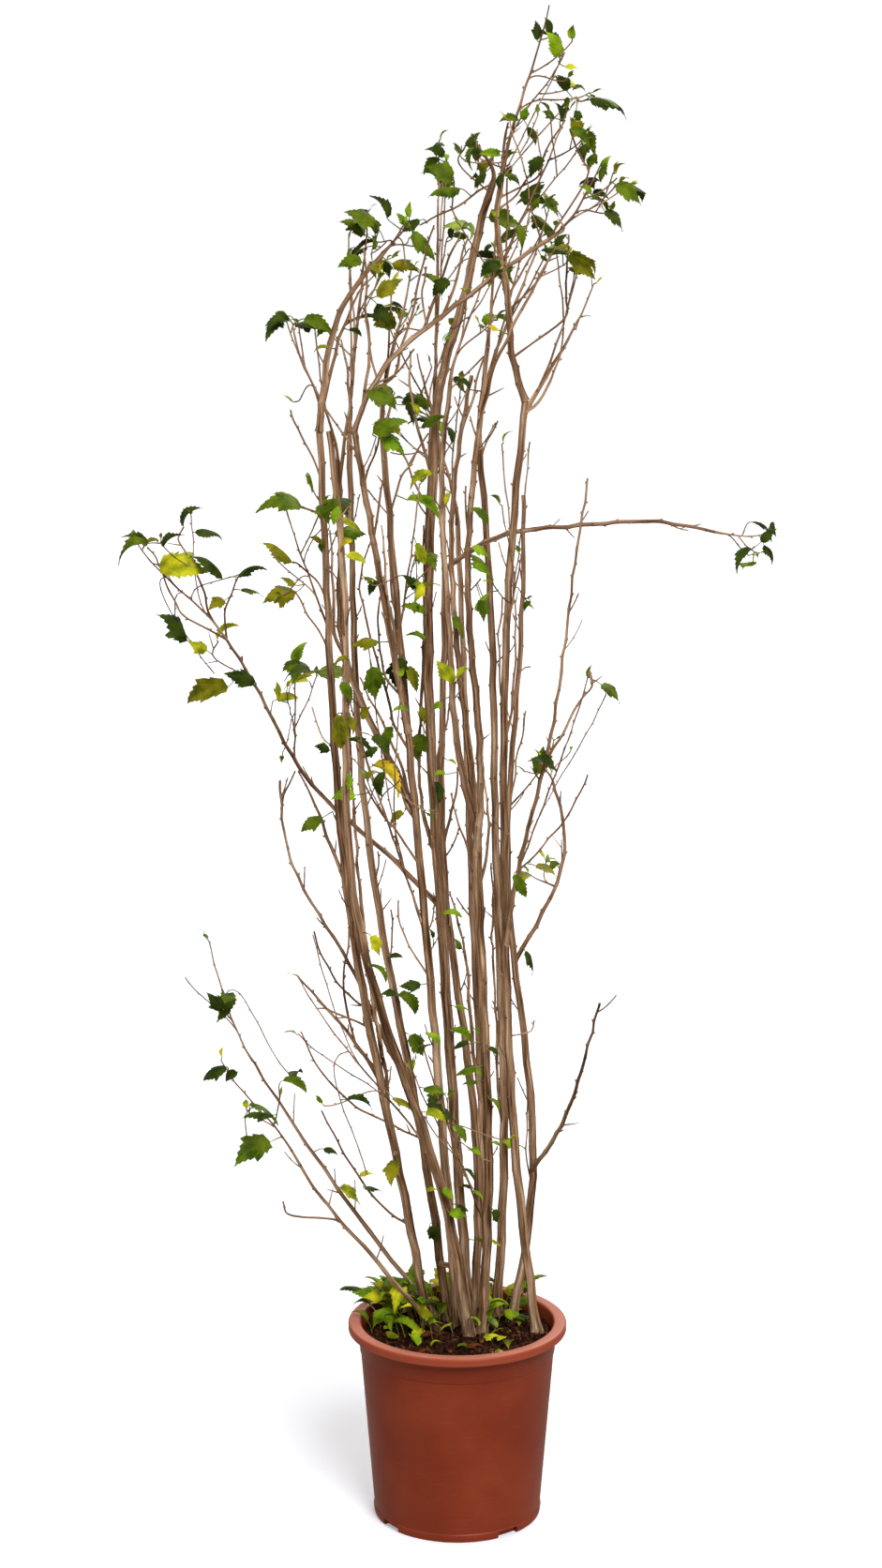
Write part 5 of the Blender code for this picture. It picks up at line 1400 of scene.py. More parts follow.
# Leaves read off the photograph, by colour: where the blade starts, where its tip is, and how far
# it is rolled out of the image plane. Each hangs on the nearest twig or limb, as far forward or
# back as leaves it clear. They take the place of the leaves that the rule grew, of which those
# farther back stay where one of these shows in front of them.
seenRule = {
    "behind": 6.0, "depthWeight": 45.0, "clear": 0.0012, "margin": -0.003, "cover": 14.0, "room": 0.03,
    "slant": 0.35, "moreRoll": 0.3,
    "depths": (0.012, 0.020, 0.030, 0.004, 0.040, -0.012, -0.025, 0.050, -0.040),
}
seenLeaves = {
    "deep green": (
        (157, 583, 129, 573, 0.6), (196, 561, 217, 542, 0.8), (175, 583, 197, 571, 0.9),
        (208, 568, 237, 576, 0.8), (237, 617, 203, 594, 0.6), (254, 615, 285, 608, 0.8),
        (200, 683, 165, 655, 0.5), (272, 727, 238, 718, 0.1), (332, 716, 303, 727, 0.8),
        (478, 455, 482, 476, 0.6), (500, 415, 482, 407, 0.5), (441, 629, 428, 613, 0.5),
        (404, 620, 394, 636, 0.2), (430, 702, 425, 736, 0.0), (352, 800, 334, 796, 0.1),
        (403, 797, 387, 809, 0.2), (397, 785, 416, 807, 0.5), (409, 823, 408, 850, 0.0),
        (464, 834, 467, 858, 0.3), (474, 167, 453, 160, 0.4), (497, 156, 513, 141, 0.4),
        (563, 135, 571, 155, 0.3), (580, 169, 566, 191, 0.3), (518, 184, 506, 202, 0.3),
        (535, 185, 534, 203, 0.4), (565, 216, 550, 220, 0.7), (590, 221, 577, 224, 0.6),
        (628, 152, 624, 176, 0.6), (645, 225, 664, 247, 0.6), (604, 270, 575, 268, 0.8),
        (592, 250, 577, 254, 0.5), (592, 262, 606, 250, 0.2), (577, 272, 584, 282, 0.4),
        (413, 233, 394, 209, 0.4), (448, 235, 428, 248, 0.3), (525, 262, 516, 273, 0.3),
        (533, 278, 512, 297, 0.1), (537, 289, 524, 303, 0.4), (480, 300, 462, 317, 0.2),
        (815, 581, 823, 602, 0.5), (803, 585, 786, 612, 0.5), (812, 578, 829, 564, 0.3),
        (592, 820, 563, 812, 0.6), (238, 1085, 253, 1065, 0.1), (238, 1076, 220, 1058, 0.1),
        (242, 1138, 216, 1153, 0.2), (253, 1143, 241, 1154, 0.1), (292, 1189, 256, 1194, 0.8),
        (345, 1225, 360, 1232, 0.3), (370, 1173, 397, 1184, 0.9), (388, 1267, 408, 1272, 0.8),
        (416, 1020, 431, 1021, 0.5), (449, 1050, 425, 1052, 0.0), (422, 1061, 405, 1062, 0.7),
        (445, 1118, 462, 1114, 0.8), (500, 1113, 484, 1120, 0.3), (521, 1118, 531, 1128, 0.3),
        (526, 1290, 531, 1304, 0.2), (488, 1285, 500, 1292, 0.3), (458, 1308, 466, 1326, 0.2),
        (493, 1247, 506, 1260, 0.8), (493, 1265, 506, 1271, 0.8), (560, 1014, 567, 1040, 0.8),
        (573, 43, 571, 21, 0.2), (587, 37, 580, 18, 0.4), (605, 97, 594, 80, 0.3),
        (629, 106, 653, 112, 0.5), (592, 126, 577, 119, 0.5), (597, 130, 591, 109, 0.6),
        (605, 110, 604, 127, 0.2), (615, 118, 617, 135, 0.2), (309, 342, 283, 348, 0.2),
        (307, 338, 294, 332, 0.3), (372, 352, 386, 360, 0.5), (402, 324, 416, 350, 0.2),
        (400, 250, 390, 234, 0.4), (462, 1000, 458, 990, 0.1), (632, 207, 650, 213, 0.5),
    ),
    "green": (
        (157, 580, 127, 603, 0.8), (256, 629, 281, 637, 0.9), (322, 540, 273, 547, 0.8),
        (393, 416, 424, 440, 0.4), (398, 462, 435, 450, 0.4), (449, 456, 479, 446, 0.7),
        (455, 437, 443, 418, 0.3), (361, 533, 345, 546, 0.3), (329, 505, 333, 526, 0.7),
        (357, 569, 391, 570, 0.2), (503, 543, 522, 562, 0.5), (364, 727, 374, 750, 0.1),
        (397, 711, 401, 746, 0.0), (418, 775, 416, 797, 0.3), (452, 783, 446, 812, 0.3),
        (344, 872, 320, 888, 0.2), (513, 640, 516, 665, 0.2), (486, 655, 492, 686, 0.8),
        (483, 192, 453, 178, 0.3), (491, 201, 456, 211, 0.6), (508, 158, 504, 182, 0.7),
        (540, 185, 554, 198, 0.4), (521, 232, 559, 243, 0.4), (551, 242, 556, 265, 0.3),
        (575, 211, 567, 228, 0.3), (582, 212, 596, 233, 0.4), (609, 138, 629, 157, 0.3),
        (635, 163, 629, 183, 0.3), (646, 174, 641, 196, 0.3), (657, 197, 684, 219, 0.4),
        (402, 238, 366, 226, 0.4), (388, 250, 360, 237, 0.5), (386, 280, 360, 286, 0.3),
        (440, 247, 464, 278, 0.3), (397, 266, 396, 251, 0.3), (325, 340, 355, 356, 0.1),
        (302, 1152, 328, 1167, 0.5), (288, 1218, 250, 1245, 0.1), (394, 1030, 412, 1050, 0.8),
        (425, 1060, 442, 1084, 0.3), (437, 1104, 452, 1127, 0.2), (508, 1138, 486, 1148, 0.6),
        (508, 1153, 493, 1157, 0.6), (452, 1160, 476, 1170, 0.6), (486, 1200, 496, 1219, 0.4),
        (522, 1172, 532, 1186, 0.6), (641, 730, 661, 751, 0.6), (566, 641, 560, 653, 0.4),
        (548, 933, 562, 957, 0.0), (553, 128, 533, 130, 0.1), (508, 1323, 519, 1330, 0.5),
        (345, 578, 344, 590, 0.3), (630, 723, 632, 709, 0.5), (493, 1012, 484, 1000, 0.2),
    ),
    "fresh green": (
        (312, 706, 328, 685, 0.4), (408, 462, 432, 486, 0.2), (434, 533, 469, 556, 0.7),
        (360, 539, 356, 561, 0.0), (504, 582, 522, 597, 0.4), (504, 606, 523, 615, 0.5),
        (451, 655, 425, 647, 0.4), (452, 684, 431, 679, 0.7), (470, 748, 461, 758, 0.3),
        (420, 758, 437, 759, 0.6), (379, 848, 353, 853, 0.3), (370, 842, 368, 823, 0.7),
        (475, 826, 461, 829, 0.3), (533, 165, 511, 164, 0.1), (642, 180, 652, 166, 0.3),
        (630, 207, 617, 199, 0.2), (437, 243, 422, 227, 0.5), (597, 60, 581, 33, 0.2),
        (558, 128, 563, 112, 0.1), (473, 975, 494, 980, 0.6), (455, 1103, 469, 1117, 0.5),
        (482, 1100, 502, 1114, 0.5), (485, 1073, 500, 1078, 0.6), (507, 1098, 518, 1107, 0.1),
        (508, 1140, 521, 1151, 0.6), (525, 1218, 534, 1223, 0.3), (553, 1221, 534, 1218, 0.3),
        (503, 1225, 514, 1233, 0.2), (480, 1293, 500, 1298, 0.2), (472, 1268, 484, 1279, 0.3),
    ),
    "lime green": (
        (170, 602, 223, 611, 0.2), (221, 694, 200, 684, 0.1), (232, 682, 258, 668, 0.8),
        (295, 746, 320, 745, 0.5), (297, 745, 294, 725, 0.6), (445, 442, 436, 429, 0.3),
        (461, 505, 438, 522, 0.3), (480, 526, 476, 540, 0.2), (370, 592, 392, 602, 0.5),
        (444, 579, 454, 602, 0.0), (451, 622, 443, 642, 0.1), (485, 727, 465, 704, 0.0),
        (499, 713, 488, 727, 0.3), (478, 811, 487, 816, 0.5), (362, 1266, 385, 1287, 0.6),
        (383, 1255, 402, 1253, 0.7), (396, 998, 405, 1021, 0.3), (455, 1186, 476, 1198, 0.1),
        (525, 1322, 534, 1329, 0.5), (603, 71, 617, 74, 0.6), (456, 1272, 468, 1269, 0.6),
    ),
    "olive green": (
        (243, 733, 200, 751, 0.0), (240, 640, 222, 652, 0.3), (312, 600, 277, 579, 0.7),
        (316, 631, 279, 645, 0.4), (315, 624, 298, 616, 0.6), (420, 418, 402, 412, 0.5),
        (345, 579, 328, 574, 0.6), (388, 615, 403, 622, 0.7), (404, 685, 374, 690, 0.5),
        (372, 704, 355, 712, 0.6), (434, 711, 445, 739, 0.2), (360, 762, 364, 799, 0.0),
        (385, 766, 397, 753, 0.3), (372, 763, 376, 783, 0.3), (389, 830, 402, 822, 0.3),
        (430, 867, 416, 881, 0.0), (449, 753, 452, 774, 0.3), (607, 272, 635, 298, 0.0),
        (418, 281, 447, 291, 0.2), (402, 316, 430, 298, 0.0), (571, 923, 595, 937, 0.7),
        (419, 1170, 438, 1187, 0.8), (424, 1238, 418, 1266, 0.2), (155, 581, 171, 577, 0.6),
        (350, 372, 335, 376, 0.8), (398, 281, 404, 294, 0.3),
    ),
    "pale green": ((339, 717, 376, 721, 0.1), (500, 239, 472, 243, 0.6), (498, 238, 500, 257, 0.6)),
    "yellow": ((376, 577, 363, 585, 0.2), (532, 352, 519, 348, 0.4)),
}
carriers = [(place, seenFrom(place)) for run in (*stemRuns, *boughRuns, *twigRuns)
            for place, _ in run[::2]]
grownLeaves = [(name, leaf, seenFrom(mix(leaf["joint"], leaf["tip"], 0.5)))
               for name, found in leaves.items() for leaf in found]


def seenLeaf(shade, joint, tip, roll):
    roll += seenRule["moreRoll"]
    aim = joint - (tip - joint).normalized() * seenRule["behind"]
    root, _ = min(carriers, key=lambda spot: (spot[1] - aim).length
                  + (spot[0].y - cadLow.y) * seenRule["depthWeight"])
    slant = leafRandom.uniform(-seenRule["slant"], seenRule["slant"])
    for ahead in seenRule["depths"]:
        start = placeAt(joint, root.y - ahead)
        end = placeAt(tip, start.y)
        end = placeAt(tip, start.y + slant * (end - start).length)
        along = (end - start).normalized()
        facing = (Vector(view["place"]) - start).normalized()
        facing = (facing - along * facing.dot(along)).normalized()
        side = along.cross(facing)
        side = side if side.z > 0 else -side
        across = along.cross(facing * math.cos(roll) + side * math.sin(roll))
        spots = [mix(start, end, k) + across * s * (end - start).length for k in (0.25, 0.5, 0.75)
                 for s in (-0.2, 0, 0.2)]
        if insideBox([*spots, start, end], seenRule["margin"]) and taken.clear(
                spots, seenRule["clear"], ""):
            addLeaf(shade, root, (start - root).normalized(), start, end, across)
            return start.y
    print("no room for the leaf at", joint)


laid = []
for shade, spots in seenLeaves.items():
    for x, y, tipX, tipY, roll in spots:
        joint, tip = Vector((x, y)), Vector((tipX, tipY))
        depth = seenLeaf(shade, joint, tip, roll)
        if depth is not None:
            laid.append((mix(joint, tip, 0.5), depth))
keptLeaves = [(name, leaf) for name, leaf, middle in grownLeaves if name == "leaves_foot" or any(
    (middle - spot).length < seenRule["cover"] and leaf["joint"].y > depth + seenRule["room"]
    for spot, depth in laid)]
print("leaves seen:", len(laid), "grown leaves kept:", len(keptLeaves))
for name, leaf in keptLeaves:
    kind = "turning" if name in turningMasses else "dark" if name in darkMasses else "usual"
    kind = "low" if name == "leaves_foot" else kind
    root = nearestOn(massRuns[name], leaf["root"])
    addLeaf(kind, root, leaf["out"], leaf["joint"], leaf["tip"], leaf["across"])

# Young leaves stand at the shoots' tips, small and pale
youngLeaves = {"perTip": (0, 1, 1, 2), "length": (0.009, 0.020), "stalk": (0.003, 0.007)}
for name, place, way in tipPlaces:
    for _ in range(leafRandom.choice(youngLeaves["perTip"])):
        out = (way + sideOf(way, leafRandom.uniform(0, math.tau)) * 0.9).normalized()
        joint = place + out * leafRandom.uniform(*youngLeaves["stalk"])
        blade = (out + Vector((0, 0, leafRandom.uniform(-0.4, 0.6)))).normalized()
        across = blade.cross(Vector((0, 0.2, 1))).normalized()
        tip = joint + blade * leafRandom.uniform(*youngLeaves["length"])
        if insideBox([joint, tip], 0.004) and taken.clear([mix(joint, tip, 0.6)], 0.004, name):
            addLeaf("young", place, out, joint, tip, across)

# Low leaves rise on stalks from the soil between the stems' feet, most on the left and behind.
# Each patch is its middle, its half widths and how many leaves it has.
footLeaves = {
    "length": (0.022, 0.044), "stalk": (0.008, 0.046), "pitch": (-0.35, 0.8), "clear": 0.0012,
    "shadeAndLightPatches": ((-0.075, 0.030, 0.045, 0.050, 34), (-0.030, 0.075, 0.050, 0.030, 30),
                (0.060, 0.060, 0.035, 0.035, 34), (0.000, 0.030, 0.045, 0.045, 34),
                (0.010, 0.000, 0.060, 0.030, 8)),
}
for x, y, wide, deep, count in footLeaves["shadeAndLightPatches"]:
    for _ in range(count):
        root = Vector((x + leafRandom.uniform(-wide, wide), y + leafRandom.uniform(-deep, deep),
                       soilTop - 0.002))
        heading = math.atan2(root.y - 0.02, root.x) + leafRandom.uniform(-1.3, 1.3)
        out = Vector((math.cos(heading) * 0.45, math.sin(heading) * 0.45, 1)).normalized()
        joint = root + out * leafRandom.uniform(*footLeaves["stalk"])
        pitch = leafRandom.uniform(*footLeaves["pitch"])
        blade = Vector((math.cos(heading) * math.cos(pitch), math.sin(heading) * math.cos(pitch),
                        math.sin(pitch)))
        across = Matrix.Rotation(leafRandom.uniform(-0.7, 0.7), 3, blade) @ blade.cross(
            Vector((0, 0, 1))).normalized()
        tip = joint + blade * leafRandom.uniform(*footLeaves["length"])
        half = across * (tip - joint).length * 0.3
        middle = mix(joint, tip, 0.45)
        spots = [joint, middle - half, middle, middle + half, tip]
        kept = all(spot.z > pot["height"] or spot.xy.length < innerRadius(soilTop) - 0.003
                   for spot in spots) and min(spot.z for spot in spots) > soilTop + 0.003
        if kept and root.xy.length < 0.122 and taken.clear(spots, footLeaves["clear"], ""):
            addLeaf("low", root, out, joint, tip, across)

# Fallen leaves lie on the soil: those that the photograph shows, and a few between the stems
fallen = {
    "lying": ((-0.080, -0.005, 0.046, "fresh green"), (-0.056, -0.022, 0.034, "lime green"),
              (-0.060, -0.045, 0.032, "fresh green"), (0.006, -0.062, 0.022, "green"),
              (0.040, 0.004, 0.034, "pale green"), (0.060, -0.014, 0.028, "lime green"),
              (0.062, -0.038, 0.018, "lime green"), (-0.028, -0.060, 0.016, "lime green"),
              (-0.112, 0.030, 0.036, "dry brown"), (-0.040, -0.028, 0.026, "dry brown"),
              (0.012, 0.045, 0.030, "dry brown"), (0.034, 0.058, 0.032, "dry brown")),
    "more": 16, "length": (0.015, 0.030), "shades": ("dry brown", "dry brown", "olive green", "lime green"),
}
lying = list(fallen["lying"])
for _ in range(fallen["more"]):
    turn, out = leafRandom.uniform(0, math.tau), math.sqrt(leafRandom.random()) * 0.110
    lying.append((math.cos(turn) * out, math.sin(turn) * out, leafRandom.uniform(*fallen["length"]),
                  leafRandom.choice(fallen["shades"])))
for x, y, length, shade in lying:
    heading = leafRandom.uniform(0, math.tau)
    along = Vector((math.cos(heading), math.sin(heading), leafRandom.uniform(-0.10, 0.20))) * length
    joint = Vector((x, y, soilTop + 0.006 + max(0, -along.z))) - along / 2
    across = Vector((math.sin(heading), -math.cos(heading), leafRandom.uniform(-0.3, 0.3)))
    if max((joint + along * k).xy.length for k in (0, 1)) < innerRadius(soilTop) - 0.006:
        addLeaf(shade, None, None, joint, joint + along, across)

for name, pile in leafPiles.items():
    plain = name.replace(" ", "_")
    settle(objectFrom(meshFrom(pile, plain), f"{plain}_leaves"),
           leafMaterial(name, leafColours[name]))
# Soft green stalks, browner in places, with a dull skin
stalkMaterial, stalkShader = newMaterial("soft green stalks", "6b6f2e", 0.55)
stalkPlace = addNode(stalkMaterial, "ShaderNodeTexCoord").outputs["Object"]
stalkTone = addNode(stalkMaterial, "ShaderNodeTexNoise", {"Scale": 60.0}, {"Vector": stalkPlace})
stalkShade = addNode(stalkMaterial, "ShaderNodeValToRGB", links={"Fac": stalkTone.outputs["Fac"]},
                     stops=((0.38, "5a4a24"), (0.5, "66702c"), (0.62, "8b9a48")))
stalkBump = addNode(stalkMaterial, "ShaderNodeBump", {"Strength": 0.2, "Distance": 0.0002},
                    {"Height": stalkTone.outputs["Fac"]})
plug(stalkMaterial, stalkShader, stalkShade.outputs["Color"], stalkBump.outputs["Normal"])
settle(tubes("leaf_stalks", stalkRuns, 0), stalkMaterial)


# Pot: a turned plastic nursery pot with a rolled rim, a lip under it and a notched foot


def arc(middle, radius, first, last, count):
    turns = [math.radians(mix(first, last, i / count)) for i in range(count + 1)]
    return [(middle[0] + radius * math.cos(t), middle[1] + radius * math.sin(t)) for t in turns]


def spun(name, profile, steps):
    bm = bmesh.new()
    verts = [bm.verts.new((radius, 0, height)) for radius, height in profile]
    edges = [bm.edges.new(pair) for pair in zip(verts, verts[1:])]
    bmesh.ops.spin(bm, geom=verts + edges, cent=(0, 0, 0), axis=(0, 0, 1), dvec=(0, 0, 0),
                   angle=math.tau, steps=steps, use_merge=True, use_duplicate=False)
    bmesh.ops.remove_doubles(bm, verts=bm.verts, dist=0.00001)
    bmesh.ops.recalc_face_normals(bm, faces=bm.faces)
    return objectFrom(meshFrom(bm, name), name)


rimBand = 0.012
underRim = pot["height"] - rimBand
band = underRim - pot["topBand"]
innerRim = innerRadius(pot["height"] - pot["rimRound"])
heights = [mix(pot["footBand"], band, i / 12) for i in range(1, 12)]
potProfile = [
    (0, 0.0008), (pot["baseRadius"] - 0.012, 0.0008), (pot["baseRadius"] - 0.010, 0),
    *arc((pot["baseRadius"] + pot["step"] - 0.003, 0.003), 0.003, -90, 0, 5),
    (wallRadius(pot["footBand"]) + pot["step"], pot["footBand"] - 0.0006),
    (wallRadius(pot["footBand"]) + pot["step"] * 0.6, pot["footBand"] + 0.0003),
    (wallRadius(pot["footBand"]), pot["footBand"] + 0.0012),
    *[(wallRadius(height), height) for height in heights],
    (wallRadius(band), band), (wallRadius(band) + pot["step"] * 0.7, band + 0.0006),
    (wallRadius(band) + pot["step"], band + 0.0016),
    (wallRadius(underRim) + pot["step"], underRim - 0.002),
    (wallRadius(underRim) + pot["step"] + 0.001, underRim),
    *arc((pot["rimRadius"] - 0.002, underRim + 0.002), 0.002, -80, 0, 6),
    (pot["rimRadius"] - 0.0004, mix(underRim, pot["height"], 0.5)),
    *arc((pot["rimRadius"] - 0.0035, pot["height"] - 0.0035), 0.0035, 0, 90, 8),
    *arc((innerRim + 0.004, pot["height"] - 0.004), 0.004, 90, 180, 6),
    *[(innerRadius(h), h) for h in (0.26, 0.24, 0.2)],
    (innerRadius(pot["floor"]), pot["floor"]), (0, pot["floor"]),
]
potPiece = spun("nursery_pot", potProfile, pot["sides"])
bm = bmesh.new()
for i in range(pot["notches"]):
    turn = Matrix.Rotation(pot["notchTurn"] + i * math.tau / pot["notches"], 4, "Z")
    size = Matrix.Diagonal((2 * pot["notchDepth"], pot["notchWidth"], 2 * pot["notchHeight"], 1))
    bmesh.ops.create_cube(bm, size=1, matrix=turn @ Matrix.Translation((pot["baseRadius"], 0, 0)) @ size)
flatEdges = [edge for edge in bm.edges if abs((edge.verts[0].co - edge.verts[1].co).z) < 0.001]
bmesh.ops.bevel(bm, geom=flatEdges, offset=0.0025, offset_type="OFFSET", segments=3, profile=0.5,
                affect="EDGES", material=-1, clamp_overlap=True)
cutter = objectFrom(meshFrom(bm, "notch cutter"), "notch cutter")
cut = potPiece.modifiers.new("drainage notches", "BOOLEAN")
cut.object = cutter
cut.solver = "EXACT"
graph = bpy.context.evaluated_depsgraph_get()
cutMesh = bpy.data.meshes.new_from_object(potPiece.evaluated_get(graph))
potPiece.modifiers.clear()
potPiece.data = cutMesh
bpy.data.objects.remove(cutter)
potPiece.data.shade_smooth()
potPiece.data.set_sharp_from_angle(angle=math.radians(35))

# Terracotta coloured polypropylene: satin, a little mottled over 100 mm, with fine scuffs that
# run round it and dust along some of them; the rim band is paler and its top edge paler still,
# painted highlights where the rolled rim catches the light
potMaterial, potShader = newMaterial("terracotta coloured plastic", "7a2f1c", 0.38)
potShader.inputs["Specular IOR Level"].default_value = 0.2
potPlace = addNode(potMaterial, "ShaderNodeTexCoord").outputs["Object"]
potHeight = addNode(potMaterial, "ShaderNodeSeparateXYZ", links={0: potPlace}).outputs["Z"]
cloud = addNode(potMaterial, "ShaderNodeTexNoise", {"Scale": 10.0, "Detail": 5.0},
                {"Vector": potPlace}).outputs["Fac"]
level = addNode(potMaterial, "ShaderNodeMapping", {"Scale": (1, 1, 14)},
                {"Vector": potPlace}).outputs["Vector"]
scuffs = addNode(potMaterial, "ShaderNodeTexNoise", {"Scale": 30.0, "Detail": 6.0},
                 {"Vector": level}).outputs["Fac"]
grain = addNode(potMaterial, "ShaderNodeTexNoise", {"Scale": 900.0, "Detail": 2.0},
                {"Vector": potPlace}).outputs["Fac"]
plain = addNode(potMaterial, "ShaderNodeValToRGB", links={"Fac": cloud},
                stops=((0.35, "782c17"), (0.5, "7e301a"), (0.66, "86361e"))).outputs["Color"]
# painted highlight: the rim band paler than the wall, where the rolled rim catches the light
rimHighlightShare = addNode(potMaterial, "ShaderNodeMapRange", {"From Min": 0.255, "From Max": 0.262,
                   "To Max": 0.6}, {"Value": potHeight}).outputs["Result"]
rimHighlighted = addNode(potMaterial, "ShaderNodeMix", {"data_type": "RGBA", 7: colour("a84f37")},
                 {0: rimHighlightShare, 6: plain}).outputs[2]
# painted highlight: the top edge of the rim paler still
topHighlightShare = addNode(potMaterial, "ShaderNodeMapRange", {"From Min": 0.2748, "From Max": 0.2759,
                   "To Max": 0.45}, {"Value": potHeight}).outputs["Result"]
topHighlighted = addNode(potMaterial, "ShaderNodeMix", {"data_type": "RGBA", 7: colour("dc927a")},
                 {0: topHighlightShare, 6: rimHighlighted}).outputs[2]
dusty = addNode(potMaterial, "ShaderNodeMapRange", {"From Min": 0.60, "From Max": 0.72,
                "To Max": 0.10}, {"Value": scuffs}).outputs["Result"]
dusted = addNode(potMaterial, "ShaderNodeMix", {"data_type": "RGBA", 7: colour("9c6a52")},
                 {0: dusty, 6: topHighlighted}).outputs[2]
gloss = addNode(potMaterial, "ShaderNodeMapRange", {"To Min": 0.34, "To Max": 0.46},
                {"Value": scuffs}).outputs["Result"]
potMaterial.node_tree.links.new(gloss, potShader.inputs["Roughness"])
potBump = addNode(potMaterial, "ShaderNodeBump", {"Strength": 0.12, "Distance": 0.0003},
                  {"Height": grain})
plug(potMaterial, potShader, dusted, potBump.outputs["Normal"])
settle(potPiece, potMaterial, ["pot"])


# Soil: a lumpy crust with crumbs, clods and bark chips on it

soilLook = {
    "rings": 44, "turns": 150, "lump": 0.0040, "crumbs": 1900, "crumbSize": (0.0009, 0.0038),
    "clods": 130, "clodSize": (0.0040, 0.0085), "chips": 120, "chipSize": (0.0010, 0.0026),
}
soilRadius = innerRadius(soilTop) - 0.0004
soilProfile = [(soilRadius * i / soilLook["rings"], soilTop) for i in range(soilLook["rings"] + 1)]
soilProfile += [(innerRadius(soilTop - 0.02) - 0.0004, soilTop - 0.02)]
soilPiece = spun("soil_crust", soilProfile, soilLook["turns"])


def soilHeight(x, y):
    place = Vector((x, y, 0))
    wide = noise.noise(place / 0.035) * soilLook["lump"] + noise.noise(place / 0.016) * 0.0022
    return wide + noise.noise(place / 0.007) * 0.0018 + noise.noise(place / 0.0035) * 0.0010


for vert in soilPiece.data.vertices:
    if vert.co.z > soilTop - 0.001:
        vert.co.z = soilTop + soilHeight(vert.co.x, vert.co.y)
soilPiece.data.shade_smooth()
soilRandom = random.Random(3)
bm = bmesh.new()
kinds = (("crumbs", "crumbSize", (1, 1, 0.8)), ("clods", "clodSize", (1, 0.9, 0.75)),
         ("chips", "chipSize", (3.2, 1.0, 0.4)))
for kind, sizes, shape in kinds:
    for _ in range(soilLook[kind]):
        turn, out = soilRandom.uniform(0, math.tau), math.sqrt(soilRandom.random())
        x, y = math.cos(turn) * out * (soilRadius - 0.005), math.sin(turn) * out * (soilRadius - 0.005)
        size = mix(*soilLook[sizes], soilRandom.random() ** 2)
        place = Matrix.Translation((x, y, soilTop + soilHeight(x, y) + size * 0.2))
        spin = Matrix.Rotation(soilRandom.uniform(0, math.tau), 4, "Z") @ Matrix.Rotation(
            soilRandom.uniform(-0.7, 0.7), 4, "X")
        made = bmesh.ops.create_icosphere(bm, subdivisions=2 if kind == "clods" else 1, radius=size,
                                          matrix=place @ spin @ Matrix.Diagonal((*shape, 1)))
        for vert in made["verts"]:
            vert.co += noise.noise_vector(vert.co / size * 0.9) * size * 0.45
crumbPiece = objectFrom(meshFrom(bm, "soil_crumbs"), "soil_crumbs")

# Damp reddish brown potting compost, with grains of 4 mm and pale fibres here and there
soilMaterial, soilShader = newMaterial("damp potting compost", "321a0e", 0.9)
soilShader.inputs["Specular IOR Level"].default_value = 0.1
soilPlace = addNode(soilMaterial, "ShaderNodeTexCoord").outputs["Object"]
grit = addNode(soilMaterial, "ShaderNodeTexNoise", {"Scale": 240.0, "Detail": 5.0},
               {"Vector": soilPlace}).outputs["Fac"]
lumps = addNode(soilMaterial, "ShaderNodeTexNoise", {"Scale": 70.0, "Detail": 2.0},
                {"Vector": soilPlace}).outputs["Fac"]
soilTone = addNode(soilMaterial, "ShaderNodeMix", {0: 0.4}, {2: grit, 3: lumps}).outputs[0]
soilShade = addNode(soilMaterial, "ShaderNodeValToRGB", links={"Fac": soilTone},
                    stops=((0.36, "060201"), (0.47, "200e06"), (0.56, "442413"), (0.64, "73492c"),
                           (0.73, "b08a5c"))).outputs["Color"]
soilBump = addNode(soilMaterial, "ShaderNodeBump", {"Strength": 0.8, "Distance": 0.0015},
                   {"Height": grit})
plug(soilMaterial, soilShader, soilShade, soilBump.outputs["Normal"])
settle(soilPiece, soilMaterial, ["soil"])
settle(crumbPiece, soilMaterial)


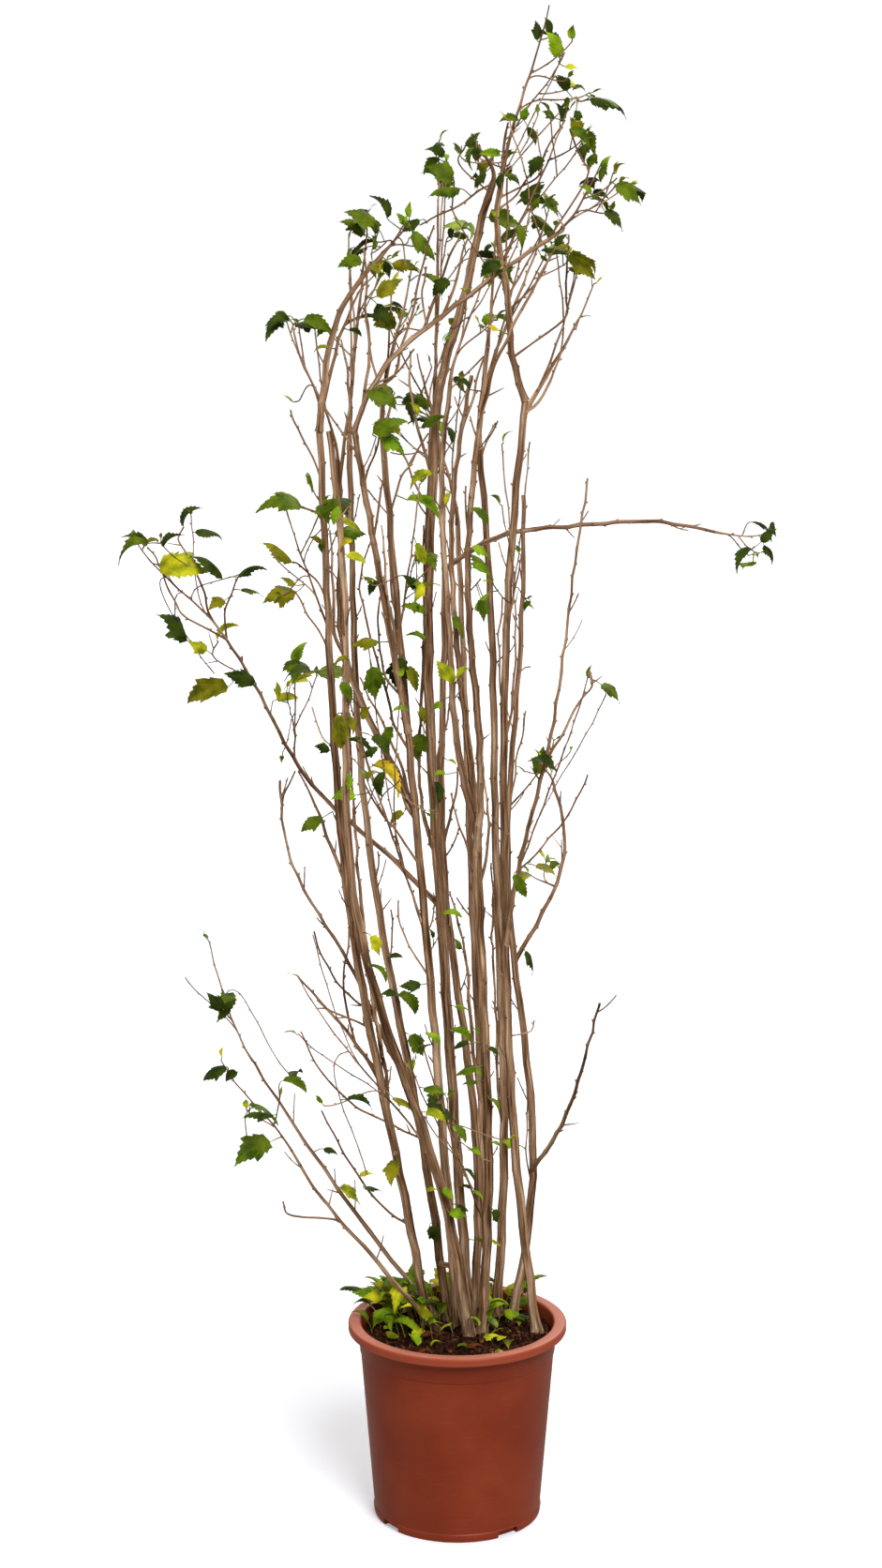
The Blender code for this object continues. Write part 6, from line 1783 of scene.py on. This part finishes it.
# Studio: a pale floor that runs into a white dome, a soft main light from the front right, a weak
# one from the left and one behind. Only the camera sees the dome, so the light stays one-sided.

studio = {
    "reach": 15.0, "floorShade": "f3f7ff", "floorGlow": 0.22, "domeShade": "ffffff", "worldShade": "fff4e6",
    "worldPower": 0.45, "softness": math.radians(28),
    # Degrees up, degrees round from the front towards the right, and strength
    "suns": {"key": (42, 24, 2.5), "fill": (30, -55, 0.35), "back": (38, 165, 0.9)},
}
bm = bmesh.new()
bmesh.ops.create_grid(bm, x_segments=1, y_segments=1, size=studio["reach"])
floor = objectFrom(meshFrom(bm, "floor"), "floor")
floorMaterial, floorShader = newMaterial("pale studio floor", studio["floorShade"], 0.9)
floorShader.inputs["Emission Color"].default_value = colour(studio["floorShade"])
floorShader.inputs["Emission Strength"].default_value = studio["floorGlow"]  # lifts its shadow
floor.data.materials.append(floorMaterial)
bm = bmesh.new()
bmesh.ops.create_uvsphere(bm, u_segments=48, v_segments=24, radius=studio["reach"])
bmesh.ops.reverse_faces(bm, faces=bm.faces)
dome = objectFrom(meshFrom(bm, "dome"), "dome")
domeMaterial, domeShader = newMaterial("white studio backdrop", "000000", 1.0)
domeShader.inputs["Emission Color"].default_value = colour(studio["domeShade"])
domeShader.inputs["Emission Strength"].default_value = 1.0
dome.data.materials.append(domeMaterial)
dome.visible_shadow = False
for stage in (floor, dome):
    stage.visible_diffuse = False
    stage.visible_glossy = False
    stage.visible_transmission = False
world = bpy.data.worlds.new("studio")
world.use_nodes = True
world.node_tree.nodes["Background"].inputs["Color"].default_value = colour(studio["worldShade"])
world.node_tree.nodes["Background"].inputs["Strength"].default_value = studio["worldPower"]
bpy.context.scene.world = world
bpy.context.scene.view_settings.view_transform = "Standard"
for name, (up, turn, power) in studio["suns"].items():
    lamp = bpy.data.lights.new(name, "SUN")
    lamp.angle, lamp.energy = studio["softness"], power
    lampObject = objectFrom(lamp, name)
    lampObject.rotation_euler = (math.radians(90 - up), 0, math.radians(turn))
print("studio lit")
